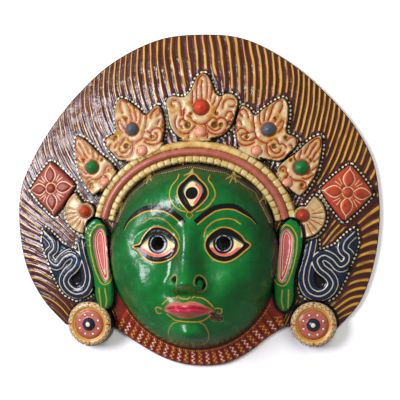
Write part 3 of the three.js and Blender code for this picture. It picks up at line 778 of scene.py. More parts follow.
def zipped(first, second, points):
    """Faces between two loops that run the same way, matched by their direction from the loops' middle."""
    middle = np.mean(points[first], axis=0)

    def directions(loop):
        rel = points[loop] - middle
        return np.unwrap(np.arctan2(rel[:, 1], rel[:, 0]))

    turn_a, turn_b = directions(first), directions(second)
    offset = np.angle(np.exp(1j * (turn_b - turn_a[0])))
    start = int(np.argmin(np.abs(offset)))
    second = second[start:] + second[:start]
    turn_b = directions(second)
    turn_b += 2 * math.pi * np.round((turn_a[0] - turn_b[0]) / (2 * math.pi))
    whole_turn = 2 * math.pi * np.sign(turn_a[-1] - turn_a[0])
    turn_a = np.append(turn_a, turn_a[0] + whole_turn)
    turn_b = np.append(turn_b, turn_b[0] + whole_turn)
    way = np.sign(whole_turn)
    faces = []
    i = j = 0
    while i < len(first) or j < len(second):
        a, b = first[i % len(first)], second[j % len(second)]
        on_first = j == len(second) or (i < len(first) and way * turn_a[i + 1] <= way * turn_b[j + 1])
        if on_first:
            faces.append([a, first[(i + 1) % len(first)], b])
            i += 1
        else:
            faces.append([a, second[(j + 1) % len(second)], b])
            j += 1
    return faces


# Each part's height at every point of the outer surface, and the marks that guide its paint
def nearest_item(items, x, y):
    """Which item's centre is nearest, and the way from it to each point, +x away from the mask's middle."""
    centres = np.array([(item["x"], item["y"]) for item in items])
    away = np.hypot(x[:, None] - centres[:, 0], y[:, None] - centres[:, 1])
    which = away.argmin(axis=1)
    side = np.array([item.get("side", 1) for item in items])[which]
    return which, side * (x - centres[which, 0]), y - centres[which, 1]


def rounded_edge(depth):
    """0 just outside a part's outline and 1 a little inside it."""
    return ease((depth + 0.1) / 1.5)


def hair_part(x, y, dome, edge_depth):
    strand = strand_count(x, y)
    flow = np.hypot(x, y + 50)
    lock = np.cos(2 * math.pi * strand) * (0.8 + 0.3 * drift(strand * 9, flow, 24, 1))
    lock += 0.45 * drift(strand * 16, flow / 2.2, 11, 3)
    fade = ease(edge_depth / 4)
    return dome + STRAND_RISE * lock * fade, np.column_stack([strand, flow, edge_depth])


def collar_part(x, y, dome, edge_depth, edge_run):
    pleat = (edge_run - HAIR_RUN) / PLEAT_PITCH
    on_collar = (np.abs(x - COLLAR_MIDDLE) < COLLAR_HALF_WIDTH) & (y < COLLAR_TOP)
    on_collar &= (edge_run > HAIR_RUN) & (egg_share(x, y) > 0.995)
    ridge = np.cos(2 * math.pi * pleat)
    rise = COLLAR_RISE * ease((edge_depth + 0.5) / 3) + PLEAT_RISE * ridge * ease(edge_depth / 3)
    egg_gap = (egg_share(x, y) - 1) * FACE_DOWN
    return np.where(on_collar, dome + rise, dome - BURIED), np.column_stack([pleat, edge_depth, egg_gap])


def ring_part(x, y, dome):
    gap, run, _ = trace(ring_line(), x, y, reach=40)
    off = -gap
    pearl = run / PEARL_PITCH
    inside = (np.abs(off) < RING_HALF) & (run > 0.01) & (run < run.max() - 0.01)
    section = RING_RISE * ease((RING_HALF - np.abs(off)) / 1.6)
    band = BAND_RISE * bulge(off, BAND_HALF)
    along = (pearl - np.floor(pearl) - 0.5) * PEARL_PITCH
    lobe = np.abs(along / 3.75) ** 5 + np.abs((np.abs(off) - PEARL_ROW) / 3.4) ** 3
    pearls = PEARL_RISE * bulge(lobe, 1)
    plain = ease((x - ROLL_FROM) / 6) * ease((ROLL_TO - x) / 6) * (off > 0)
    roll = ROLL_RISE * bulge(off - PEARL_ROW, ROLL_HALF)
    height = dome + section + band + pearls * (1 - plain) + roll * plain
    return np.where(inside, height, dome - BURIED), np.column_stack([off, pearl, plain])


def cabochon(away, radius):
    """A domed stone with a small nipple on top."""
    stone = STONE_RISE * np.clip(1 - (away / radius) ** 2, 0, 1) ** 0.65
    return stone + NIPPLE_RISE * bell(away, 0.34 * radius)


def leaf_part(x, y, dome, off):
    depth = deepest(LEAF_LINES, x, y)
    root = np.minimum(depth + 2, RING_HALF + 3 - off)
    depth = np.where(off > 0, np.maximum(depth, root), depth)
    which, u, v = nearest_item(LEAVES, x, y)
    gem = np.array([item["gem"] for item in LEAVES])[which]
    away = np.hypot(u, v)
    scroll = nearest_of([placed(line, item) for item in LEAVES for line in item["leaf"]["lines"]], x, y)
    pits = [(*placed([(px, py)], item)[0], r) for item in LEAVES for px, py, r in item["leaf"]["pits"]]
    scroll[:, 2] = np.max([r - np.hypot(x - px, y - py) for px, py, r in pits], axis=0)
    raised = SCROLL_RISE * (1 - bell(scroll[:, 1], 2.1, 1.5)) - 1.1
    raised -= PIT_DEPTH * ease((scroll[:, 2] + 0.9) / 2)
    raised += 0.5 * bell(depth - 1.8, 1.2)
    raised += 0.3 * drift(x, y, 8, 4)
    top = LEAF_HEIGHT + raised * ease((away - gem) / 2)
    stone = cabochon(away, gem) - 1.4 * bell(away - gem - 0.8, 1)
    height = dome + (top + stone) * rounded_edge(depth)
    return height, depth, np.column_stack([u, v, depth]), scroll


def pink_gems(x, y):
    """Rise of the small gems, and how far each point is outside the nearest one."""
    spots = []
    for item in LEAVES:
        px, py, radius = item["leaf"]["pink"]
        spots.append({"x": item["x"] + item["side"] * px, "y": item["y"] + py, "gem": radius})
    which, u, v = nearest_item(spots, x, y)
    radius = np.array([spot["gem"] for spot in spots])[which]
    away = np.hypot(u, v)
    rise = PINK_STONE_RISE * bulge(away, radius) - 0.8 * bell(away - radius - 0.6, 1)
    return rise, away - radius


def fan_part(x, y, dome):
    depth = deepest(FAN_LINES, x, y)
    _, u, v = nearest_item(FANS, x, y)
    away = np.hypot(u, v)
    angle = np.degrees(np.arctan2(v, u))
    flute = np.cos(np.radians(angle) * FAN_FLUTES) * ease((away - 8) / 4) * ease((26 - angle) / 8)
    top = FAN_HEIGHT + FLUTE_RISE * flute + 0.9 * bell(depth - 1.8, 1.3)
    stone = cabochon(away, FAN_GEM) - 1.2 * bell(away - FAN_GEM - 0.8, 1)
    height = dome + (top + stone) * rounded_edge(depth)
    return height, depth, np.column_stack([u, v, depth])


def diamond_part(x, y, dome):
    depth = deepest(DIAMOND_LINES, x, y, reach=20)
    _, u, v = nearest_item(DIAMONDS, x, y)
    p = u * math.cos(DIAMOND_TURN) - v * math.sin(DIAMOND_TURN)
    q = u * math.sin(DIAMOND_TURN) + v * math.cos(DIAMOND_TURN)
    away = np.hypot(p, q)
    long, short = np.maximum(np.abs(p), np.abs(q)), np.minimum(np.abs(p), np.abs(q))
    along = np.clip((long - PETAL["from"]) / PETAL["length"], 0, 1)
    petal = PETAL["half_width"] * np.sin(along**0.85 * math.pi) - short
    raised = PETAL["rise"] * ease(petal / 2.5) - PETAL["groove"] * bell(petal, 0.9)
    top = 1.4 * ease(depth / 9) + raised * (long > PETAL["from"])
    stone = STUD_STONE["rise"] * bulge(away, STUD_STONE["radius"]) - 1.1 * bell(away - 5.8, 0.9)
    rise = DIAMOND_HEIGHT + top * ease((away - 4.5) / 2) + stone
    return dome + rise * ease(depth / 2.2 + 0.1), depth, np.column_stack([p, q, depth]), petal


def ribbon_part(x, y, dome):
    depth = deepest(RIBBON_LINES, x, y)
    fold = nearest_of([mirrored(RIBBON_FOLD, side, shift) for side, shift in RIBBON_SIDES], x, y)
    fold[:, 2] = deepest_in([mirrored(RIBBON_GAP, side, shift) for side, shift in RIBBON_SIDES], x, y)
    roll = FOLD_RISE * bulge(fold[:, 1], FOLD_HALF) - 0.8 * bell(fold[:, 0], 0.9) - 0.7
    height = dome + (RIBBON_HEIGHT + roll - GAP_DEPTH * ease(fold[:, 2] / 2.5)) * rounded_edge(depth)
    return height, depth, fold


def ear_part(x, y, dome):
    depth = deepest(EAR_LINES, x, y, reach=16)
    bowl = deepest(BOWL_LINES, x, y)
    height = dome + EAR_HEIGHT * bulge(3.6 - np.minimum(depth + 0.2, 3.6), 3.8)
    height += BOWL_ROLL * bell(bowl - 3.2, 1.2) * ease(bowl) - BOWL_DEPTH * ease((bowl + 1) / 4)
    return height, depth, np.column_stack([depth, bowl])


def earring_part(x, y):
    which, u, v = nearest_item([{"x": cx, "y": cy} for cx, cy in EARRINGS], x, y)
    away = np.hypot(u, v)
    radii, heights = np.array(EARRING_PROFILE).T
    inward = (np.array(HAIR_CENTRE) - EARRINGS)[which]
    nearer = (inward[:, 0] * u + inward[:, 1] * v) / np.hypot(inward[:, 0], inward[:, 1])
    height = np.interp(away, radii, heights) + EARRING_LEAN * nearer
    return height, EARRING_RADIUS - away, np.column_stack([u, v, away])


PARTS = ["hair", "collar", "face", "ring", "leaf", "fan", "diamond", "ribbon", "ear", "earring"]
PULP = len(PARTS)
PUPIL_WALL = PULP + 1


def outer_surface(x, y):
    """Every part's height at each point, and all marks there."""
    dome = dome_height(x, y)
    edge_gap, edge_run, _ = trace(EDGE, x, y, reach=400)
    edge_depth = np.where(is_inside(EDGE, x, y), 1, -1) * np.abs(edge_gap)
    heights, marks = {}, {}
    heights["hair"], marks["hair"] = hair_part(x, y, dome, edge_depth)
    heights["collar"], marks["collar"] = collar_part(x, y, dome, edge_depth, edge_run)
    heights["ring"], marks["ring"] = ring_part(x, y, dome)
    under_ring = (marks["ring"][:, 0] < 1 - RING_HALF) & (marks["ring"][:, 0] > -24) & (y > -22)
    beside_face = np.where(under_ring, dome + 0.6, dome - BURIED)
    heights["face"] = np.where(egg_share(x, y) < 1, face_height(x, y), beside_face)
    heights["leaf"], leaf_depth, leaf_mark, leaf_scroll = leaf_part(x, y, dome, marks["ring"][:, 0])
    heights["fan"], fan_depth, fan_mark = fan_part(x, y, dome)
    heights["diamond"], diamond_depth, diamond_mark, petal = diamond_part(x, y, dome)
    heights["ribbon"], ribbon_depth, fold = ribbon_part(x, y, dome)
    heights["ear"], ear_depth, marks["ear"] = ear_part(x, y, dome)
    heights["earring"], earring_depth, earring_mark = earring_part(x, y)
    gems, pink_gap = pink_gems(x, y)
    heights["leaf"] = heights["leaf"] + gems * ease(leaf_depth)
    main = LEAVES + [{**fan, "gem": FAN_GEM, "tint": 4} for fan in FANS]
    which, u, v = nearest_item(main, x, y)
    stone = np.hypot(u, v) - np.array([item["gem"] for item in main])[which]
    marks["stone"] = np.column_stack([stone, np.array([item["tint"] for item in main])[which], pink_gap])
    depths = {"leaf": leaf_depth, "fan": fan_depth, "diamond": diamond_depth, "ribbon": ribbon_depth,
              "ear": ear_depth, "earring": earring_depth}
    for part, depth in depths.items():
        heights[part] = np.where(depth >= 0, heights[part], dome - BURIED)
    local = np.where((leaf_depth > -AROUND)[:, None], leaf_mark, fan_mark)
    local = np.where((diamond_depth > -AROUND)[:, None], diamond_mark, local)
    local = np.where((earring_depth > -AROUND)[:, None], earring_mark, local)
    marks["local"] = local
    marks["scroll"] = np.where((ribbon_depth > -AROUND)[:, None], fold, leaf_scroll)
    marks["petal"] = np.column_stack([petal])
    piped = np.max([leaf_depth, fan_depth, diamond_depth, ribbon_depth], axis=0)
    plain = np.max([ear_depth, earring_depth], axis=0)
    marks["piping"] = np.column_stack([-piped, piping_run(x, y), -plain])
    marks["face"] = face_mark(x, y, marks["ring"][:, 0])
    marks["eyes"], marks["pupil"] = eye_marks(x, y)
    marks["brow"] = brow_mark(x, y)
    on_lobes = [mirrored(line, side) for side in (-1, 1) for line in LOBE_LINES]
    marks["gold"] = nearest_of(GOLD_LINES + on_lobes, x, y)
    marks["thin"] = nearest_of(THIN_GOLD_LINES, x, y)
    marks["black"] = nearest_of(SIDE_LOCKS, x, y)
    marks["tassel"] = nearest_of(tassel_lines(), x, y)
    parting, _, _ = trace(smooth_line(MOUTH), x, y)
    marks["lips"] = np.column_stack([deepest_in([LIPS], x, y), parting, deepest_in([PAINT_CHIP], x, y)])
    marks["nostril"] = np.column_stack([deepest_in(NOSTRILS, x, y)])
    return np.array([heights[part] for part in PARTS]), marks


def piping_run(x, y):
    """How far along the nearest piped outline each point lies."""
    best = np.full(x.shape, FAR)
    result = np.zeros(x.shape)
    for line in LEAF_LINES + FAN_LINES + DIAMOND_LINES + RIBBON_LINES:
        gap, run, _ = trace(line, x, y)
        closer = np.abs(gap) < best
        best[closer] = np.abs(gap)[closer]
        result[closer] = run[closer]
    return result


def face_mark(x, y, off):
    """How far inside the egg's outline, how far below the ring, and how far right of the face's middle."""
    margin = (1 - egg_share(x, y)) * FACE_HALF_WIDTH
    return np.column_stack([margin, -RING_HALF - off, x - FACE_CENTRE[0]])


def eye_marks(x, y):
    lids = deepest_in(LIDS, x, y)
    whites = deepest_in(WHITES, x, y)
    pupils = [{"x": cx, "y": cy} for cx, cy in [*PUPIL_HOLES, THIRD_PUPIL]]
    which, u, v = nearest_item(pupils, x, y)
    third = np.where(which == 2, 1, 0)
    return np.column_stack([lids, whites, third]), np.column_stack([u, v])


def brow_mark(x, y):
    """Gap to the brow, above it positive and widened where the brow thins out towards its outer end."""
    brow = nearest_of(BROWS, x, y)
    brow[x > THIRD_PUPIL[0], 0] *= -1
    brow[:, 0] /= 0.35 + 0.65 * ease(brow[:, 2] / 0.4)
    return brow


def tassel_lines():
    """Four strokes that fan out below each knot."""
    lines = []
    for x, y, lean in TASSELS:
        for fan, length in ((-48, 10), (-20, 12), (8, 12), (38, 10)):
            turn = math.radians(lean + 0.5 * fan)
            end = math.radians(lean + 1.3 * fan)
            middle = (x + 0.5 * length * math.sin(turn), y - 0.5 * length * math.cos(turn))
            tip = (middle[0] + 0.5 * length * math.sin(end), middle[1] - 0.5 * length * math.cos(end))
            lines.append([(x, y), middle, tip])
    return lines


def build_mask():
    """The closed body: its points and faces, each face's zone, and for each point the marks it takes."""
    feet = [egg_line(), ring_outline(), *LEAF_LINES, *FAN_LINES, *DIAMOND_LINES, *RIBBON_LINES, *EAR_LINES]
    flat, faces = cut_sheet(STEP, mask_depth, feet + EARRING_LINES)
    heights, marks = outer_surface(flat[:, 0], flat[:, 1])
    points = [np.column_stack([flat, heights.max(axis=0)])]
    zones = [int(heights[:, face].mean(axis=1).argmax()) for face in faces]
    source = list(range(len(flat)))
    rims = rims_of(faces)

    # The outer wall, down to the flat rim
    loop = rims[0]
    top = points[0][loop]
    rows = [loop]
    for share in (0.66, 0.33, 0.0):
        rows.append(list(range(len(source), len(source) + len(loop))))
        points.append(top * (1, 1, share))
        source += loop
    parts = heights[:, loop].argmax(axis=0)
    for upper, lower in zip(rows, rows[1:]):
        for k in range(len(loop)):
            n = (k + 1) % len(loop)
            faces.append([upper[n], upper[k], lower[k], lower[n]])
            zones.append(int(parts[k]))

    # The hollow, and the walls of the pierced pupils
    inner, inner_faces = cut_sheet(HOLLOW_STEP, hollow_depth)
    base = len(source)
    depth = hollow_depth(inner[:, 0], inner[:, 1])
    hole_gap = holes_depth(inner[:, 0], inner[:, 1])
    rise = np.where(hole_gap < 6, 1, ease(depth / 2.5))
    points.append(np.column_stack([inner, hollow_height(inner[:, 0], inner[:, 1]) * rise]))
    source += [-1] * len(inner)
    inner_rims = [[base + p for p in rim] for rim in rims_of(inner_faces)]
    faces += [[base + p for p in reversed(face)] for face in inner_faces]
    zones += [PULP] * len(inner_faces)
    points = np.vstack(points)
    for rim in rims[1:]:
        centre = points[rim].mean(axis=0)
        partner = min(inner_rims[1:], key=lambda r: math.dist(points[r].mean(axis=0)[:2], centre[:2]))
        wall = [face[::-1] for face in zipped(rim, partner, points[:, :2])]
        faces += wall
        zones += [PUPIL_WALL] * len(wall)

    # The flat rim
    outlines = [[points[p] for p in rows[-1]], [points[p] for p in inner_rims[0]]]
    names = rows[-1] + inner_rims[0]
    for a, b, c in tessellate_polygon(outlines):
        p, q, r = (points[names[k]][:2] for k in (a, b, c))
        turn = (q[0] - p[0]) * (r[1] - p[1]) - (q[1] - p[1]) * (r[0] - p[0])
        faces.append([names[a], names[c], names[b]] if turn > 0 else [names[a], names[b], names[c]])
    zones += [PULP] * (len(faces) - len(zones))
    return points, faces, zones, np.array(source), marks


def mesh_object(name, points, faces, zones, source, marks, materials):
    """A mesh in metres with its materials by zone; points of the hollow carry no marks."""
    mesh = bpy.data.meshes.new(name)
    mesh.from_pydata((points * MM).tolist(), [], faces)
    for material in materials:
        mesh.materials.append(material)
    mesh.polygons.foreach_set("material_index", zones)
    mesh.polygons.foreach_set("use_smooth", [True] * len(faces))
    for mark, values in marks.items():
        layer = mesh.attributes.new(mark, "FLOAT_VECTOR", "POINT")
        spread = np.zeros((len(source), 3), np.float32)
        spread[source >= 0, : values.shape[1]] = values[source[source >= 0]]
        layer.data.foreach_set("vector", spread.ravel())
    mesh.set_sharp_from_angle(angle=SHARP_FROM)
    made = bpy.data.objects.new(name, mesh)
    bpy.context.collection.objects.link(made)
    return made


# Paint
MAROON = "#4a1f1b"
YELLOW = "#c4962f"
BLACK = "#0d0d10"
CREAM = "#d3c79f"
OCHRE = "#a8741a"
RED = "#8f1f26"
PINK = "#a25a4c"
GOLD = "#b98724"
GREEN = "#0a6c29"
DARK_GREEN = "#094219"
VERMILION = "#b9361a"
NAVY = "#16233a"
LINE_CREAM = "#d3b48a"
# Brown used as painted shade on the rounded edges of the leaves and fans
PAINTED_EDGE_SHADE = "#8a6a34"

# The black outline round the ornaments and its row of dots
OUTLINE_FROM = -0.8
OUTLINE_TO = 3.0
DOT_PITCH = 4.0
DOT_ROW = 1.45
DOT_HALF = 0.85

MATH = "ShaderNodeMath"
RANGE = "ShaderNodeMapRange"
MIX = "ShaderNodeMixRGB"


def linear(colour):
    """An sRGB hex colour as linear light."""
    values = [int(colour[k : k + 2], 16) / 255 for k in (1, 3, 5)]
    return [v / 12.92 if v <= 0.04045 else ((v + 0.055) / 1.055) ** 2.4 for v in values] + [1.0]


class Paint:
    """One painted surface, built coat by coat from the marks on the mesh. Sizes and places are in mm."""

    def __init__(self, name):
        self.material = bpy.data.materials.new(name)
        self.material.use_nodes = True
        self.tree = self.material.node_tree
        self.tree.nodes.clear()
        self.marks = {}
        self.place = self.node("ShaderNodeTexCoord", output=3)

    def node(self, kind, inputs=(), output=0, **settings):
        """Adds a node with its settings, and its inputs linked or set, by place or by name."""
        made = self.tree.nodes.new(kind)
        for key, value in settings.items():
            setattr(made, key, value)
        for key, value in inputs.items() if isinstance(inputs, dict) else enumerate(inputs):
            if isinstance(value, bpy.types.NodeSocket):
                self.tree.links.new(value, made.inputs[key])
            elif value is not None:
                made.inputs[key].default_value = linear(value) if isinstance(value, str) else value
        return made.outputs[output] if made.outputs else None

    def mark(self, name, axis):
        """One of the three numbers of a mark."""
        if name not in self.marks:
            numbers = self.node("ShaderNodeAttribute", output=1, attribute_name=name)
            self.marks[name] = self.node("ShaderNodeSeparateXYZ", [numbers]).node
        return self.marks[name].outputs[axis]

    def patches(self, size, detail, start, end, low, high, place=None):
        """Soft patches of about that size: low where the noise is under start, high where it is over end."""
        noise = {"Vector": place or self.place, "Scale": 1 / (size * MM), "Detail": detail}
        return self.node(RANGE, [self.node("ShaderNodeTexNoise", noise), start, end, low, high])

    def mottled(self, under, colour, size, start, end, most, detail=3):
        """A second colour over the first, in patches of about that size."""
        return self.node(MIX, [self.patches(size, detail, start, end, 0, most), under, colour])

    def shaken(self, value, amount=0.35, size=6.0):
        """A value moved up and down a little, as a brush wanders."""
        swing = self.patches(size, 2, 0, 1, -amount * 1.6, amount * 1.6)
        return self.node(MATH, [value, swing], operation="ADD")

    def within(self, value, low, high, soft=0.3):
        """1 between two values and 0 outside them, with soft edges."""
        rise = self.node(RANGE, [value, low - soft, low + soft, 0, 1])
        fall = self.node(RANGE, [value, high - soft, high + soft, 1, 0])
        return self.node(MATH, [rise, fall], operation="MULTIPLY")

    def in_repeat(self, count, half):
        """Where a point lies across a motif that repeats at each whole count, from -half to half."""
        share = self.node(MATH, [count], operation="FRACT")
        return self.node(RANGE, [share, 0, 1, -half, half])

    def distance(self, across, up):
        """How far a point is from a centre, from its two ways to it."""
        spot = self.node("ShaderNodeCombineXYZ", [across, up, 0])
        return self.node("ShaderNodeVectorMath", [spot], output=1, operation="LENGTH")

    def bands(self, under, value, bands, cover=None, soft=0.25):
        """Bands of colour laid over what is under them, each from one value to another."""
        low, high = bands[0][0] - 2 * soft, bands[-1][1] + 2 * soft
        stops = []
        for k, (start, end, colour) in enumerate(bands):
            if not k or bands[k - 1][1] != start:
                stops.append((start - soft, colour, 0))
            stops += [(start + soft, colour, 1), (end - soft, colour, 1)]
            if k == len(bands) - 1 or bands[k + 1][0] != end:
                stops.append((end + soft, colour, 0))
        share = self.node(RANGE, [value, low, high, 0, 1])
        ramp = self.node("ShaderNodeValToRGB", [share]).node
        elements = ramp.color_ramp.elements
        while len(elements) < len(stops):
            elements.new(0.5)
        for element, (at, colour, alpha) in zip(elements, sorted(stops, key=lambda stop: stop[0])):
            element.position = (at - low) / (high - low)
            element.color = linear(colour)[:3] + [alpha]
        covering = ramp.outputs["Alpha"]
        if cover is not None:
            covering = self.node(MATH, [covering, cover], operation="MULTIPLY")
        return self.node(MIX, [covering, under, ramp.outputs["Color"]])

    def line(self, under, name, colour, half, cover=None):
        """Open brush lines along a mark that holds their signed gap and plain distance."""
        gap = self.node(MATH, [self.mark(name, 0)], operation="ABSOLUTE")
        past_end = self.node(MATH, [self.mark(name, 1), 0.45], operation="SUBTRACT")
        away = self.shaken(self.node(MATH, [gap, past_end], operation="MAXIMUM"), 0.15, 3)
        return self.bands(under, away, [(-2, half, colour)], cover, soft=0.2)

    def lacquer(self, colour, bump=None, rough=0.26, coat=0.1, brushed=0.12):
        """Glossy lacquer over the paint: brush marks, small dents, and gloss that is rubbed in places."""
        dulled = self.patches(30, 3, 0.35, 0.75, rough - 0.06, rough + 0.14)
        uneven = self.patches(9, 2, 0, 1, 0, 0.9)
        brush = self.patches(1.8, 3, 0, 1, 0, brushed)
        height = self.node(MATH, [brush, uneven], operation="ADD")
        if bump is not None:
            height = self.node(MATH, [height, bump], operation="ADD")
        normal = self.node("ShaderNodeBump", {"Strength": 1.0, "Distance": MM, "Height": height})
        return self.shown({
            "Base Color": colour, "Roughness": dulled, "Normal": normal, "IOR": 1.48,
            "Coat Weight": coat, "Coat Roughness": 0.12, "Coat IOR": 1.4, "Coat Normal": normal,
        })

    def shown(self, surface):
        """The material, ended with a shader of those settings."""
        self.node("ShaderNodeOutputMaterial", [self.node("ShaderNodeBsdfPrincipled", surface)])
        return self.material


def outlines(p, colour):
    """The black outline round every raised part, with its row of cream dots, worn off in places."""
    gap = p.shaken(p.mark("piping", 0), 0.25, 5)
    colour = p.bands(colour, gap, [(OUTLINE_FROM, OUTLINE_TO, BLACK)])
    along = p.in_repeat(p.node(MATH, [p.mark("piping", 1), DOT_PITCH], operation="DIVIDE"), 1.75)
    across = p.node(RANGE, [gap, DOT_ROW - DOT_HALF, DOT_ROW + DOT_HALF, -1, 1], clamp=False)
    off_ring = p.node(RANGE, [p.mark("ring", 0), 15, 18, 0, 1])
    dotted = p.node(MATH, [p.patches(9, 2, 0.34, 0.42, 0, 1), off_ring], operation="MULTIPLY")
    colour = p.bands(colour, p.distance(along, across), [(-1, 1, CREAM)], dotted, soft=0.15)
    return p.bands(colour, p.shaken(p.mark("piping", 2), 0.3, 7), [(-0.8, 2.5, BLACK)])


def hair_paint():
    """Red-brown lacquer on strands, with painted shade in their grooves: they break the window's reflection
    into long streaks of light.
    """
    p = Paint("maroon lacquer on combed hair")
    strand = p.node("ShaderNodeAttribute", output=1, attribute_name="hair")
    combed = p.node("ShaderNodeVectorMath", [strand, (STRAND_PITCH * MM, MM / 10, 0)], operation="MULTIPLY")
    colour = p.node(MIX, [p.patches(2.6, 2, 0.45, 0.7, 0, 0.8, combed), MAROON, "#301211"])
    colour = p.mottled(colour, "#64322c", 26, 0.5, 0.8, 0.5, detail=2)
    turned = p.node(MATH, [p.mark("hair", 0), 0.5], operation="ADD")
    off = p.node(MATH, [p.in_repeat(turned, STRAND_PITCH / 2)], operation="ABSOLUTE")
    # Painted shade: darker maroon along the grooves between the strands
    colour = p.bands(colour, off, [(2.5, 4, "#3a1715")], soft=0.5)

    # Yellow lines along the strands, thinner at the left, dry here and there, and clear of the ornaments
    width = p.node(MATH, [off, p.patches(5, 2, 0.3, 0.7, -0.3, 0.35, combed)], operation="ADD")
    thinner = p.node(RANGE, [p.node("ShaderNodeSeparateXYZ", [p.place]), -0.15, 0.15, 0.25, -0.32])
    brushed = p.node(MATH, [width, thinner], operation="ADD")
    clear = p.node(RANGE, [p.shaken(p.mark("piping", 0), 2.5, 8), 4.6, 5.6, 0, 1])
    dry = p.patches(2.6, 3, 0.3, 0.42, 0.15, 1, combed)
    cover = p.node(MATH, [clear, dry], operation="MULTIPLY")
    colour = p.bands(colour, brushed, [(-2, 0.6, YELLOW)], cover)
    colour = p.bands(colour, p.mark("hair", 2), [(-2, 0.7, "#1d1212")])
    streaks = p.patches(2.6, 2, 0.3, 0.75, 0, 0.55, combed)
    return p.lacquer(outlines(p, colour), streaks, rough=0.3, coat=0.6, brushed=0.04)


def collar_paint():
    """Red lacquer on pressed pleats: soft glints along the pleats, between brushed zigzags, and painted shade
    in the grooves.
    """
    p = Paint("red lacquer on pleated collar")
    colour = p.mottled("#8a2a1c", "#5c1811", 6, 0.45, 0.7, 0.8)
    pleat, edge, egg = (p.mark("collar", k) for k in range(3))
    turned = p.node(MATH, [pleat, 0.5], operation="ADD")
    off = p.in_repeat(turned, PLEAT_PITCH / 2)
    wave = p.node(MATH, [p.node(MATH, [edge, 1.5], operation="MULTIPLY")], operation="SINE")
    zigzag = p.node(MATH, [off, p.node(MATH, [wave, 1.4], operation="MULTIPLY")], operation="ADD")
    zigzag = p.shaken(p.node(MATH, [zigzag], operation="ABSOLUTE"), 0.3, 3)
    # Painted shade: darker red along the grooves between the pleats
    colour = p.bands(colour, p.node(MATH, [off], operation="ABSOLUTE"), [(3.3, 4.2, "#4a130f")], soft=0.4)
    other = p.node(MATH, [p.node(MATH, [turned, 2], operation="MODULO"), 1], operation="LESS_THAN")
    ink = p.node(MIX, [other, YELLOW, "#dcc8a0"])
    on = p.node(MATH, [p.within(zigzag, -1, 0.7, 0.2), p.within(edge, 1.8, 14, 0.6)], operation="MULTIPLY")
    colour = p.node(MIX, [on, colour, ink])
    dash = p.node(MATH, [p.node(MATH, [pleat, 3], operation="MULTIPLY")], operation="FRACT")
    colour = p.bands(colour, p.shaken(egg, 0.3), [(2.2, 3.1, YELLOW)], p.within(dash, 0.1, 0.6, 0.08))
    colour = p.bands(colour, egg, [(-3, 1.0, "#2c1410")], soft=0.5)
    return p.lacquer(outlines(p, colour), rough=0.3)


def eye_paint(p, colour):
    """Black lids lined with gold, ivory whites with a pink rim and a painted shadow under the lid, and a
    black iris with a broken grey ring that is a painted highlight.
    """
    lid, white, third = (p.mark("eyes", k) for k in range(3))
    across, up = p.mark("pupil", 0), p.mark("pupil", 1)
    lid = p.shaken(lid, 0.12, 4)
    colour = p.bands(colour, lid, [(-1.25, -0.05, GOLD), (-0.05, 40, BLACK)], soft=0.15)
    upper = p.node(RANGE, [up, -1, 2, 0, 1])
    # Painted shadow: a grey-green band along the top of each white, under the upper lid
    colour = p.bands(colour, white, [(-1.3, -0.3, "#3d6a5c")], upper, soft=0.2)
    colour = p.bands(colour, white, [(0, 40, "#dcc48c")], soft=0.2)
    low = p.node(RANGE, [up, -4.5, -3, 1, 0])
    beside = p.node(RANGE, [across, 1.5, 3, 0, 1])
    where = p.node("ShaderNodeMix", [third, None, low, beside])
    colour = p.bands(colour, white, [(0.1, 2.5, "#c8584c")], where, soft=0.2)
    away = p.distance(across, up)
    smaller = p.node(MATH, [p.node(MATH, [third, 3.9], operation="MULTIPLY"), away], operation="ADD")
    inside = p.node(RANGE, [white, -1.5, -0.8, 0, 1])
    colour = p.bands(colour, smaller, [(-1, 9.8, BLACK)], inside, soft=0.2)
    # Painted highlight: the broken grey ring round each pierced pupil
    pierced = p.node(RANGE, [third, 0, 1, 1, 0])
    broken = p.node(MATH, [p.patches(3, 2, 0.4, 0.5, 0.1, 1), pierced], operation="MULTIPLY")
    return p.bands(colour, p.shaken(away, 0.2, 3), [(7.0, 7.8, "#9aa0a6")], broken, soft=0.15)


def garland_paint(p, colour):
    """The dark band under the crown's ring, with swags and two rows of beads along its lower edge."""
    below_ring, pearl = p.mark("face", 1), p.mark("ring", 1)
    swag = p.node(MATH, [p.node(MATH, [pearl, math.pi / 5.4], operation="MULTIPLY")], operation="SINE")
    swag = p.node(MATH, [p.node(MATH, [swag], operation="ABSOLUTE"), 2.2], operation="MULTIPLY")
    below = p.node(MATH, [p.shaken(below_ring, 0.25, 9), swag], operation="SUBTRACT")
    colour = p.bands(colour, below_ring, [(-14, 1.3, BLACK)])
    band = [(-14, -0.2, "#17171a"), (-0.2, 3.4, "#39342b"), (3.4, 4.8, "#101210")]
    colour = p.bands(colour, below, band, soft=0.3)
    beads = p.node(MATH, [p.node(MATH, [pearl, 3.4], operation="MULTIPLY")], operation="FRACT")
    bead = p.within(beads, 0.15, 0.7, 0.1)
    colour = p.bands(colour, below, [(1.4, 2.0, "#6d6049"), (3.2, 4.2, "#a08c62")], bead, soft=0.15)
    return p.bands(colour, below_ring, [(-14, 0.8, BLACK)])


def mouth_paint(p, colour):
    """Rose lips with a crimson middle, black nostrils, and the chip where the bare brown ground shows."""
    lips, parting, chip = (p.mark("lips", k) for k in range(3))
    colour = p.bands(colour, p.shaken(lips, 0.2), [(0, 30, "#b0604f")])
    deep = p.node(RANGE, [lips, 1.2, 3.2, 0, 1])
    crimson = [(-4.2, -0.35, "#b42840"), (-0.35, 0.3, "#4a0d16"), (0.3, 2.6, "#a42036")]
    colour = p.bands(colour, parting, crimson, deep, soft=0.2)
    colour = p.bands(colour, p.shaken(p.mark("nostril", 0), 0.2), [(0.1, 30, "#0a0d0a")])
    ragged = p.shaken(chip, 2.2, 3)
    bare = p.mottled("#6a4a2c", "#2c1d12", 2.5, 0.42, 0.58, 1)
    colour = p.node(MIX, [p.node(RANGE, [ragged, 0, 0.5, 0, 1]), colour, bare])
    return p.bands(colour, ragged, [(-0.3, 0.2, "#b99a68")], p.patches(2, 2, 0.45, 0.52, 0, 1))


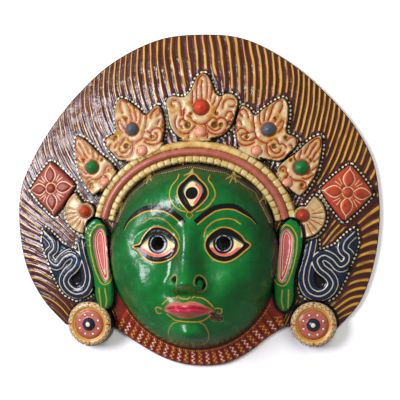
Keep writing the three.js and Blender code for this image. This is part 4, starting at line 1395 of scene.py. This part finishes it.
def face_paint():
    """Thick green lacquer on smooth papier-mache: deep colour under sharp, slightly rippled reflections;
    painted shade below the ring, to the right and along the edge.
    """
    p = Paint("green lacquer on face")
    colour = p.mottled(GREEN, DARK_GREEN, 42, 0.35, 0.7, 0.75)
    colour = p.mottled(colour, "#1d8f43", 11, 0.55, 0.8, 0.5)
    # Painted shade: the forehead darkens below the crown's ring
    colour = p.node(MIX, [p.within(p.mark("face", 1), 0, 14, 13), colour, "#08280f"])
    # Painted shade: the face darkens towards its right side, away from the window
    colour = p.node(MIX, [p.node(RANGE, [p.mark("face", 2), 30, 80, 0, 0.55]), colour, "#07230f"])
    # Painted shade: darker green along the egg's outline, where the face curves down
    colour = p.bands(colour, p.mark("face", 0), [(-4, 2.0, "#0b2415")], soft=1.8)
    colour = garland_paint(p, colour)
    for name, ink, half in (
        ("tassel", "#ab9350", 0.5), ("black", BLACK, 1.2), ("gold", GOLD, 0.52), ("thin", "#a87a20", 0.38),
    ):
        colour = p.line(colour, name, ink, half)
    ends = p.within(p.mark("brow", 2), 0.004, 0.996, 0.003)
    brow = p.shaken(p.mark("brow", 0), 0.15, 4)
    colour = p.bands(colour, brow, [(-3.7, -2.5, GOLD), (-2.5, 2.4, BLACK)], ends, soft=0.15)
    colour = mouth_paint(p, eye_paint(p, colour))
    colour = p.bands(colour, p.mark("piping", 2), [(-0.8, 1.8, BLACK)])
    return p.lacquer(colour, rough=0.26, brushed=0.04)


def ring_paint():
    """Cream pearls and a pink band, lacquered: ochre shows between the pearls, and each has its own glint."""
    p = Paint("cream and pink lacquer on crown ring")
    off, pearl, plain = (p.mark("ring", k) for k in range(3))
    size = p.node(MATH, [off], operation="ABSOLUTE")
    colour = p.mottled("#a67d26", "#7d5a20", 8, 0.45, 0.65, 1)
    along = p.node(MATH, [p.in_repeat(pearl, 1.02)], operation="ABSOLUTE")
    across = p.node(RANGE, [size, PEARL_ROW - 3.1, PEARL_ROW + 3.1, -1, 1], clamp=False)
    across = p.node(MATH, [across], operation="ABSOLUTE")
    away = p.shaken(p.node(MATH, [along, across, 0.4], operation="SMOOTH_MAX"), 0.08, 4)
    cream = p.mottled("#baa873", "#a48646", 5, 0.45, 0.72, 0.8)
    colour = p.node(MIX, [p.node(RANGE, [away, 0.8, 0.93, 1, 0]), colour, cream])
    roll = p.node(MATH, [plain, p.node(RANGE, [size, 4, 5, 0, 1])], operation="MULTIPLY")
    colour = p.node(MIX, [roll, colour, p.mottled("#c8ae72", OCHRE, 8, 0.4, 0.7, 0.8)])
    colour = p.bands(colour, size, [(3.1, 3.9, "#7a5426")])
    colour = p.node(MIX, [p.within(size, -1, 3.1), colour, p.mottled(PINK, "#97453c", 9, 0.45, 0.7, 0.9)])
    colour = p.bands(colour, p.shaken(off), [(-14, -10.6, BLACK), (-10.6, -9.9, "#a8961f")])
    colour = p.bands(colour, p.mark("piping", 2), [(-0.8, 1.8, BLACK)])
    return p.lacquer(colour, rough=0.3)


def gem_paint(p, colour):
    """The painted stones, darker round their foot as painted shade, each in a thin red ring."""
    gap, tint, small = (p.mark("stone", k) for k in range(3))
    tints = p.node("ShaderNodeValToRGB", [p.node(RANGE, [tint, 0, 4, 0.1, 0.9])]).node
    tints.color_ramp.interpolation = "CONSTANT"
    stones = [(0.0, VERMILION), (0.25, "#46525a"), (0.45, "#12662a"), (0.8, "#a8361c")]
    while len(tints.color_ramp.elements) < len(stones):
        tints.color_ramp.elements.new(0.5)
    for element, (at, stone) in zip(tints.color_ramp.elements, stones):
        element.position = at
        element.color = linear(stone)
    colour = p.bands(colour, gap, [(0.1, 1.1, RED)], soft=0.2)
    # Painted shade: each stone darkens towards its foot
    stone = p.node(MIX, [p.node(RANGE, [gap, -2.4, 0, 0, 0.6]), tints.outputs["Color"], "#14100e"])
    colour = p.node(MIX, [p.node(RANGE, [gap, -0.2, 0.2, 1, 0]), colour, stone])
    colour = p.bands(colour, small, [(0.2, 1.0, RED)], p.patches(4, 2, 0.4, 0.5, 0, 1), soft=0.2)
    return p.node(MIX, [p.node(RANGE, [small, -0.3, 0.2, 1, 0]), colour, "#d18a6e"])


def leaf_paint():
    """Cream lacquer on puffed scrolls: warm ochre in the hollows, painted shade in the pits and on the
    rounded edges, and small glints on the tops.
    """
    p = Paint("cream lacquer on crown leaves")
    gap, pit = p.shaken(p.mark("scroll", 1), 0.2, 3), p.mark("scroll", 2)
    colour = p.mottled("#a8895a", "#84622f", 4, 0.45, 0.7, 0.8)
    colour = p.node(MIX, [p.node(RANGE, [gap, 0.8, 3, 0, 0.9]), colour, "#bfa377"])
    colour = p.mottled(colour, OCHRE, 12, 0.54, 0.63, 0.85)
    colour = p.bands(colour, gap, [(-1, 1.5, "#a87a22")], p.patches(16, 2, 0.42, 0.58, 0, 0.9), soft=0.5)
    # Ochre round each pit, and dark brown inside it as painted shade
    colour = p.bands(colour, pit, [(-1.0, 0.1, OCHRE), (0.1, 9, "#5c3a1c")], soft=0.35)
    colour = p.line(colour, "scroll", "#8a1822", 0.72, p.patches(5, 2, 0.3, 0.4, 0.3, 1))
    # Painted shade: brown on the rounded edge where the leaf falls away to the hair
    colour = p.bands(colour, p.mark("local", 2), [(-2, 0.9, PAINTED_EDGE_SHADE)], soft=0.6)
    return p.lacquer(outlines(p, gem_paint(p, colour)), rough=0.3)


def fan_paint():
    """Cream lacquer on flutes: soft bands of light and shade under thin red rays, and painted shade on the
    rounded edges.
    """
    p = Paint("cream lacquer on crown fans")
    across, up, depth = (p.mark("local", k) for k in range(3))
    colour = p.mottled("#b9a072", "#a07c3e", 6, 0.45, 0.7, 0.8)
    angle = p.node(MATH, [up, across], operation="ARCTAN2")
    away = p.distance(across, up)
    rays = p.node(MATH, [angle, FAN_FLUTES / (2 * math.pi)], operation="MULTIPLY")
    off = p.node(MATH, [p.in_repeat(rays, math.pi / FAN_FLUTES), away], operation="MULTIPLY")
    off = p.shaken(p.node(MATH, [off], operation="ABSOLUTE"), 0.15, 3)
    lower = p.node(RANGE, [angle, 0.42, 0.5, 1, 0])
    on = p.node(MATH, [lower, p.within(away, 8.5, 20.5, 0.4)], operation="MULTIPLY")
    colour = p.bands(colour, off, [(-1, 0.45, RED)], on, soft=0.2)
    # Painted shade: brown on the rounded edge where the fan falls away to the hair
    colour = p.bands(colour, depth, [(-2, 1.0, PAINTED_EDGE_SHADE)], soft=0.6)
    return p.lacquer(outlines(p, gem_paint(p, colour)), rough=0.3)


def diamond_paint():
    """Vermilion paint whose lacquer is mostly gone: a broad, dull sheen over four drawn petals; the stud on
    the left is darker, as painted shade.
    """
    p = Paint("vermilion lacquer on diamond studs")
    across, up = p.mark("local", 0), p.mark("local", 1)
    colour = p.mottled("#a63d22", "#7e2a1a", 7, 0.45, 0.75, 0.9)
    # Painted shade: the stud on the left is darker than the one on the right
    left = p.node(RANGE, [p.node("ShaderNodeSeparateXYZ", [p.place]), -0.05, 0.05, 0.8, 0])
    colour = p.node(MIX, [left, colour, "#742717"])
    away = p.distance(across, up)
    outer = p.node(RANGE, [away, 5.6, 6.2, 0, 1])
    petal = p.shaken(p.mark("petal", 0), 0.2, 4)
    colour = p.bands(colour, petal, [(-0.5, 0.55, LINE_CREAM)], outer, soft=0.15)
    wide, tall = (p.node(MATH, [way], operation="ABSOLUTE") for way in (across, up))
    aside = p.node(MATH, [p.node(MATH, [wide, tall], operation="SUBTRACT")], operation="ABSOLUTE")
    spread = p.node(MATH, [aside, p.node(RANGE, [away, 8, 18, 0.2, 3.2])], operation="SUBTRACT")
    between = p.within(away, 9.5, 16.5, 0.4)
    colour = p.bands(colour, p.shaken(spread, 0.2, 4), [(0, 1.2, "#cfa47c")], between, soft=0.2)
    colour = p.bands(colour, p.shaken(away, 0.15, 3), [(4.9, 6.0, LINE_CREAM)], soft=0.15)
    return p.lacquer(outlines(p, colour), rough=0.5, coat=0)


def ribbon_paint():
    """Navy lacquer, thick and glossy: the folds show as bright edges on near-black blue."""
    p = Paint("navy lacquer on ribbons")
    colour = p.mottled(NAVY, "#26406e", 8, 0.55, 0.8, 0.8)
    colour = p.bands(colour, p.shaken(p.mark("scroll", 1), 0.25, 4), [(4.5, 5.3, "#cfc3a0")], soft=0.15)
    colour = p.line(colour, "scroll", "#c4b896", 0.5)
    colour = p.bands(colour, p.mark("scroll", 2), [(0, 9, "#171312")], soft=0.4)
    return p.lacquer(outlines(p, colour), rough=0.22)


def ear_paint():
    """Green lacquer like the face's, round a rose bowl with cream and crimson lines."""
    p = Paint("green lacquer on ears")
    colour = p.mottled(GREEN, "#0d5f2a", 9, 0.45, 0.75, 0.9)
    shell = [
        (-3.6, -2.6, GOLD), (0, 1.7, "#c27c70"), (1.7, 2.3, "#e0c8a6"), (2.3, 3.7, "#ad3f4a"),
        (3.7, 4.3, "#e0c8a6"), (4.3, 30, "#bc5f5f"),
    ]
    colour = p.bands(colour, p.shaken(p.mark("ear", 1), 0.15, 5), shell, soft=0.15)
    colour = p.line(colour, "gold", GOLD, 0.6)
    colour = p.bands(colour, p.mark("ear", 0), [(-2, 0.8, BLACK)])
    return p.lacquer(colour, rough=0.2)


def earring_paint():
    """Cream, ochre and pink lacquer on turned rings: one glint on each ring."""
    p = Paint("cream and pink lacquer on earrings")
    across, up, away = (p.mark("local", k) for k in range(3))
    away = p.shaken(away, 0.12, 5)
    angle = p.node(MATH, [up, across], operation="ARCTAN2")
    colour = p.mottled("#c0ab7c", "#a98a4c", 6, 0.45, 0.7, 0.8)

    # The red zigzag and four red bars on the rim
    wave = p.node(MATH, [p.node(MATH, [angle, 24], operation="MULTIPLY")], operation="SINE")
    zigzag = p.node(MATH, [away, p.node(MATH, [wave, 1.2], operation="MULTIPLY")], operation="ADD")
    colour = p.bands(colour, zigzag, [(19.5, 20.35, RED)], soft=0.15)
    turn = p.node(MATH, [p.node(MATH, [angle, 2], operation="MULTIPLY")], operation="SINE")
    bar = p.node(RANGE, [p.node(MATH, [turn], operation="ABSOLUTE"), 0.05, 0.08, 1, 0])
    on_rim = p.node(MATH, [bar, p.within(away, 17.5, 22)], operation="MULTIPLY")
    colour = p.node(MIX, [on_rim, colour, RED])
    colour = p.bands(colour, away, [(13.9, 15.0, "#6f4a1c"), (15.0, 17.4, "#b8822a")])

    # The pink disc with eight dots round a navy eye
    pink = p.mottled("#a8594c", "#8a4038", 6, 0.5, 0.75, 0.8)
    colour = p.node(MIX, [p.within(away, -1, 14.1), colour, pink])
    along = p.in_repeat(p.node(MATH, [angle, 4 / math.pi], operation="MULTIPLY"), 4)
    dot = p.distance(along, p.node(MATH, [away, 10.3], operation="SUBTRACT"))
    colour = p.bands(colour, dot, [(-1, 1.0, "#e2d6b0"), (1.0, 1.5, "#3a1a1a")], soft=0.15)
    colour = p.bands(colour, away, [(-1, 2.2, "#d8cba0"), (2.2, 6.0, NAVY), (6.0, 6.6, BLACK)], soft=0.15)
    colour = p.bands(colour, away, [(22.2, 30, BLACK)], soft=0.3)
    return p.lacquer(colour, rough=0.28)


def hole_paint():
    """Matt black on the walls of the pierced pupils: they give no light back."""
    return Paint("matt black in the pupils").shown({"Base Color": "#060606", "Roughness": 0.8})


def pulp_paint():
    """Bare paper pulp: matt, grey-brown and fibrous."""
    p = Paint("bare paper pulp")
    colour = p.mottled("#75664f", "#4b3f30", 18, 0.35, 0.7, 1, detail=4)
    fibres = p.patches(3, 4, 0, 1, 0, 0.8)
    normal = p.node("ShaderNodeBump", {"Strength": 1.0, "Distance": MM, "Height": fibres})
    return p.shown({"Base Color": colour, "Roughness": 0.9, "Normal": normal})


# The camera, the floor and the light
CAMERA = {"lens": 117, "sensor": 36, "distance": 1.3, "aside": 0.003, "yaw": math.radians(7.5)}
FLOOR_HALF = 2.5
LAMP_DISTANCE = 2.2
ROOM_COLOUR = (0.9, 0.9, 0.92, 1)
ROOM_LIGHT = 0.2


def plain_floor():
    """Matt white paper. The lacquer doesn't mirror it: nothing so bright stood beside the photo's mask."""
    mesh = bpy.data.meshes.new("floor")
    corners = [(FLOOR_HALF * x, FLOOR_HALF * y, 0) for x, y in ((-1, -1), (1, -1), (1, 1), (-1, 1))]
    mesh.from_pydata(corners, [], [(0, 1, 2, 3)])
    mesh.materials.append(Paint("white paper").shown({"Base Color": "#fbfbfb", "Roughness": 0.9}))
    floor = bpy.data.objects.new("floor", mesh)
    bpy.context.collection.objects.link(floor)
    floor.visible_glossy = False


def softbox(name, direction, width, height, watts, colour):
    """A rectangular lamp that looks at the mask from a direction."""
    light = bpy.data.lights.new(name, "AREA")
    light.shape = "RECTANGLE"
    light.size, light.size_y = width, height
    light.energy = watts
    light.color = linear(colour)[:3]
    lamp = bpy.data.objects.new(name, light)
    bpy.context.collection.objects.link(lamp)
    way = np.array(direction, float) / np.linalg.norm(direction)
    side = np.cross((0, 1, 0), way)
    side /= np.linalg.norm(side)
    up = np.cross(way, side)
    turn = np.column_stack([side, up, way, LAMP_DISTANCE * way])
    lamp.matrix_world = Matrix([*turn.tolist(), [0, 0, 0, 1]])
    return lamp


def add_camera():
    """The camera looks down on the mask, turned a little to its right."""
    lens = bpy.data.cameras.new("camera")
    lens.lens = CAMERA["lens"]
    lens.sensor_width = CAMERA["sensor"]
    camera = bpy.data.objects.new("camera", lens)
    bpy.context.collection.objects.link(camera)
    bpy.context.scene.camera = camera
    sine, cosine = math.sin(CAMERA["yaw"]), math.cos(CAMERA["yaw"])
    camera.matrix_world = Matrix([
        [cosine, 0, sine, CAMERA["aside"] + CAMERA["distance"] * sine],
        [0, 1, 0, 0],
        [-sine, 0, cosine, CAMERA["distance"] * cosine],
        [0, 0, 0, 1],
    ])


add_camera()
plain_floor()
softbox("window", (-0.67, 0.24, 0.7), 1.0, 1.2, 67, "#f4f3ff")
ceiling = softbox("ceiling", (0.34, 0.38, 0.86), 1.4, 1.4, 29, "#fffcf6")
ceiling.visible_glossy = False
world = bpy.data.worlds.new("studio")
bpy.context.scene.world = world
world.use_nodes = True
background = world.node_tree.nodes["Background"].inputs
background["Color"].default_value = ROOM_COLOUR
background["Strength"].default_value = ROOM_LIGHT
bpy.context.scene.view_settings.view_transform = "Standard"


# The object
points, faces, zones, source, marks = build_mask()
PAINTS = [
    hair_paint, collar_paint, face_paint, ring_paint, leaf_paint, fan_paint, diamond_paint, ribbon_paint,
    ear_paint, earring_paint, pulp_paint, hole_paint,
]
mask = mesh_object("painted_mask", points, faces, zones, source, marks, [paint() for paint in PAINTS])
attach(mask, "root")
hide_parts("mask")
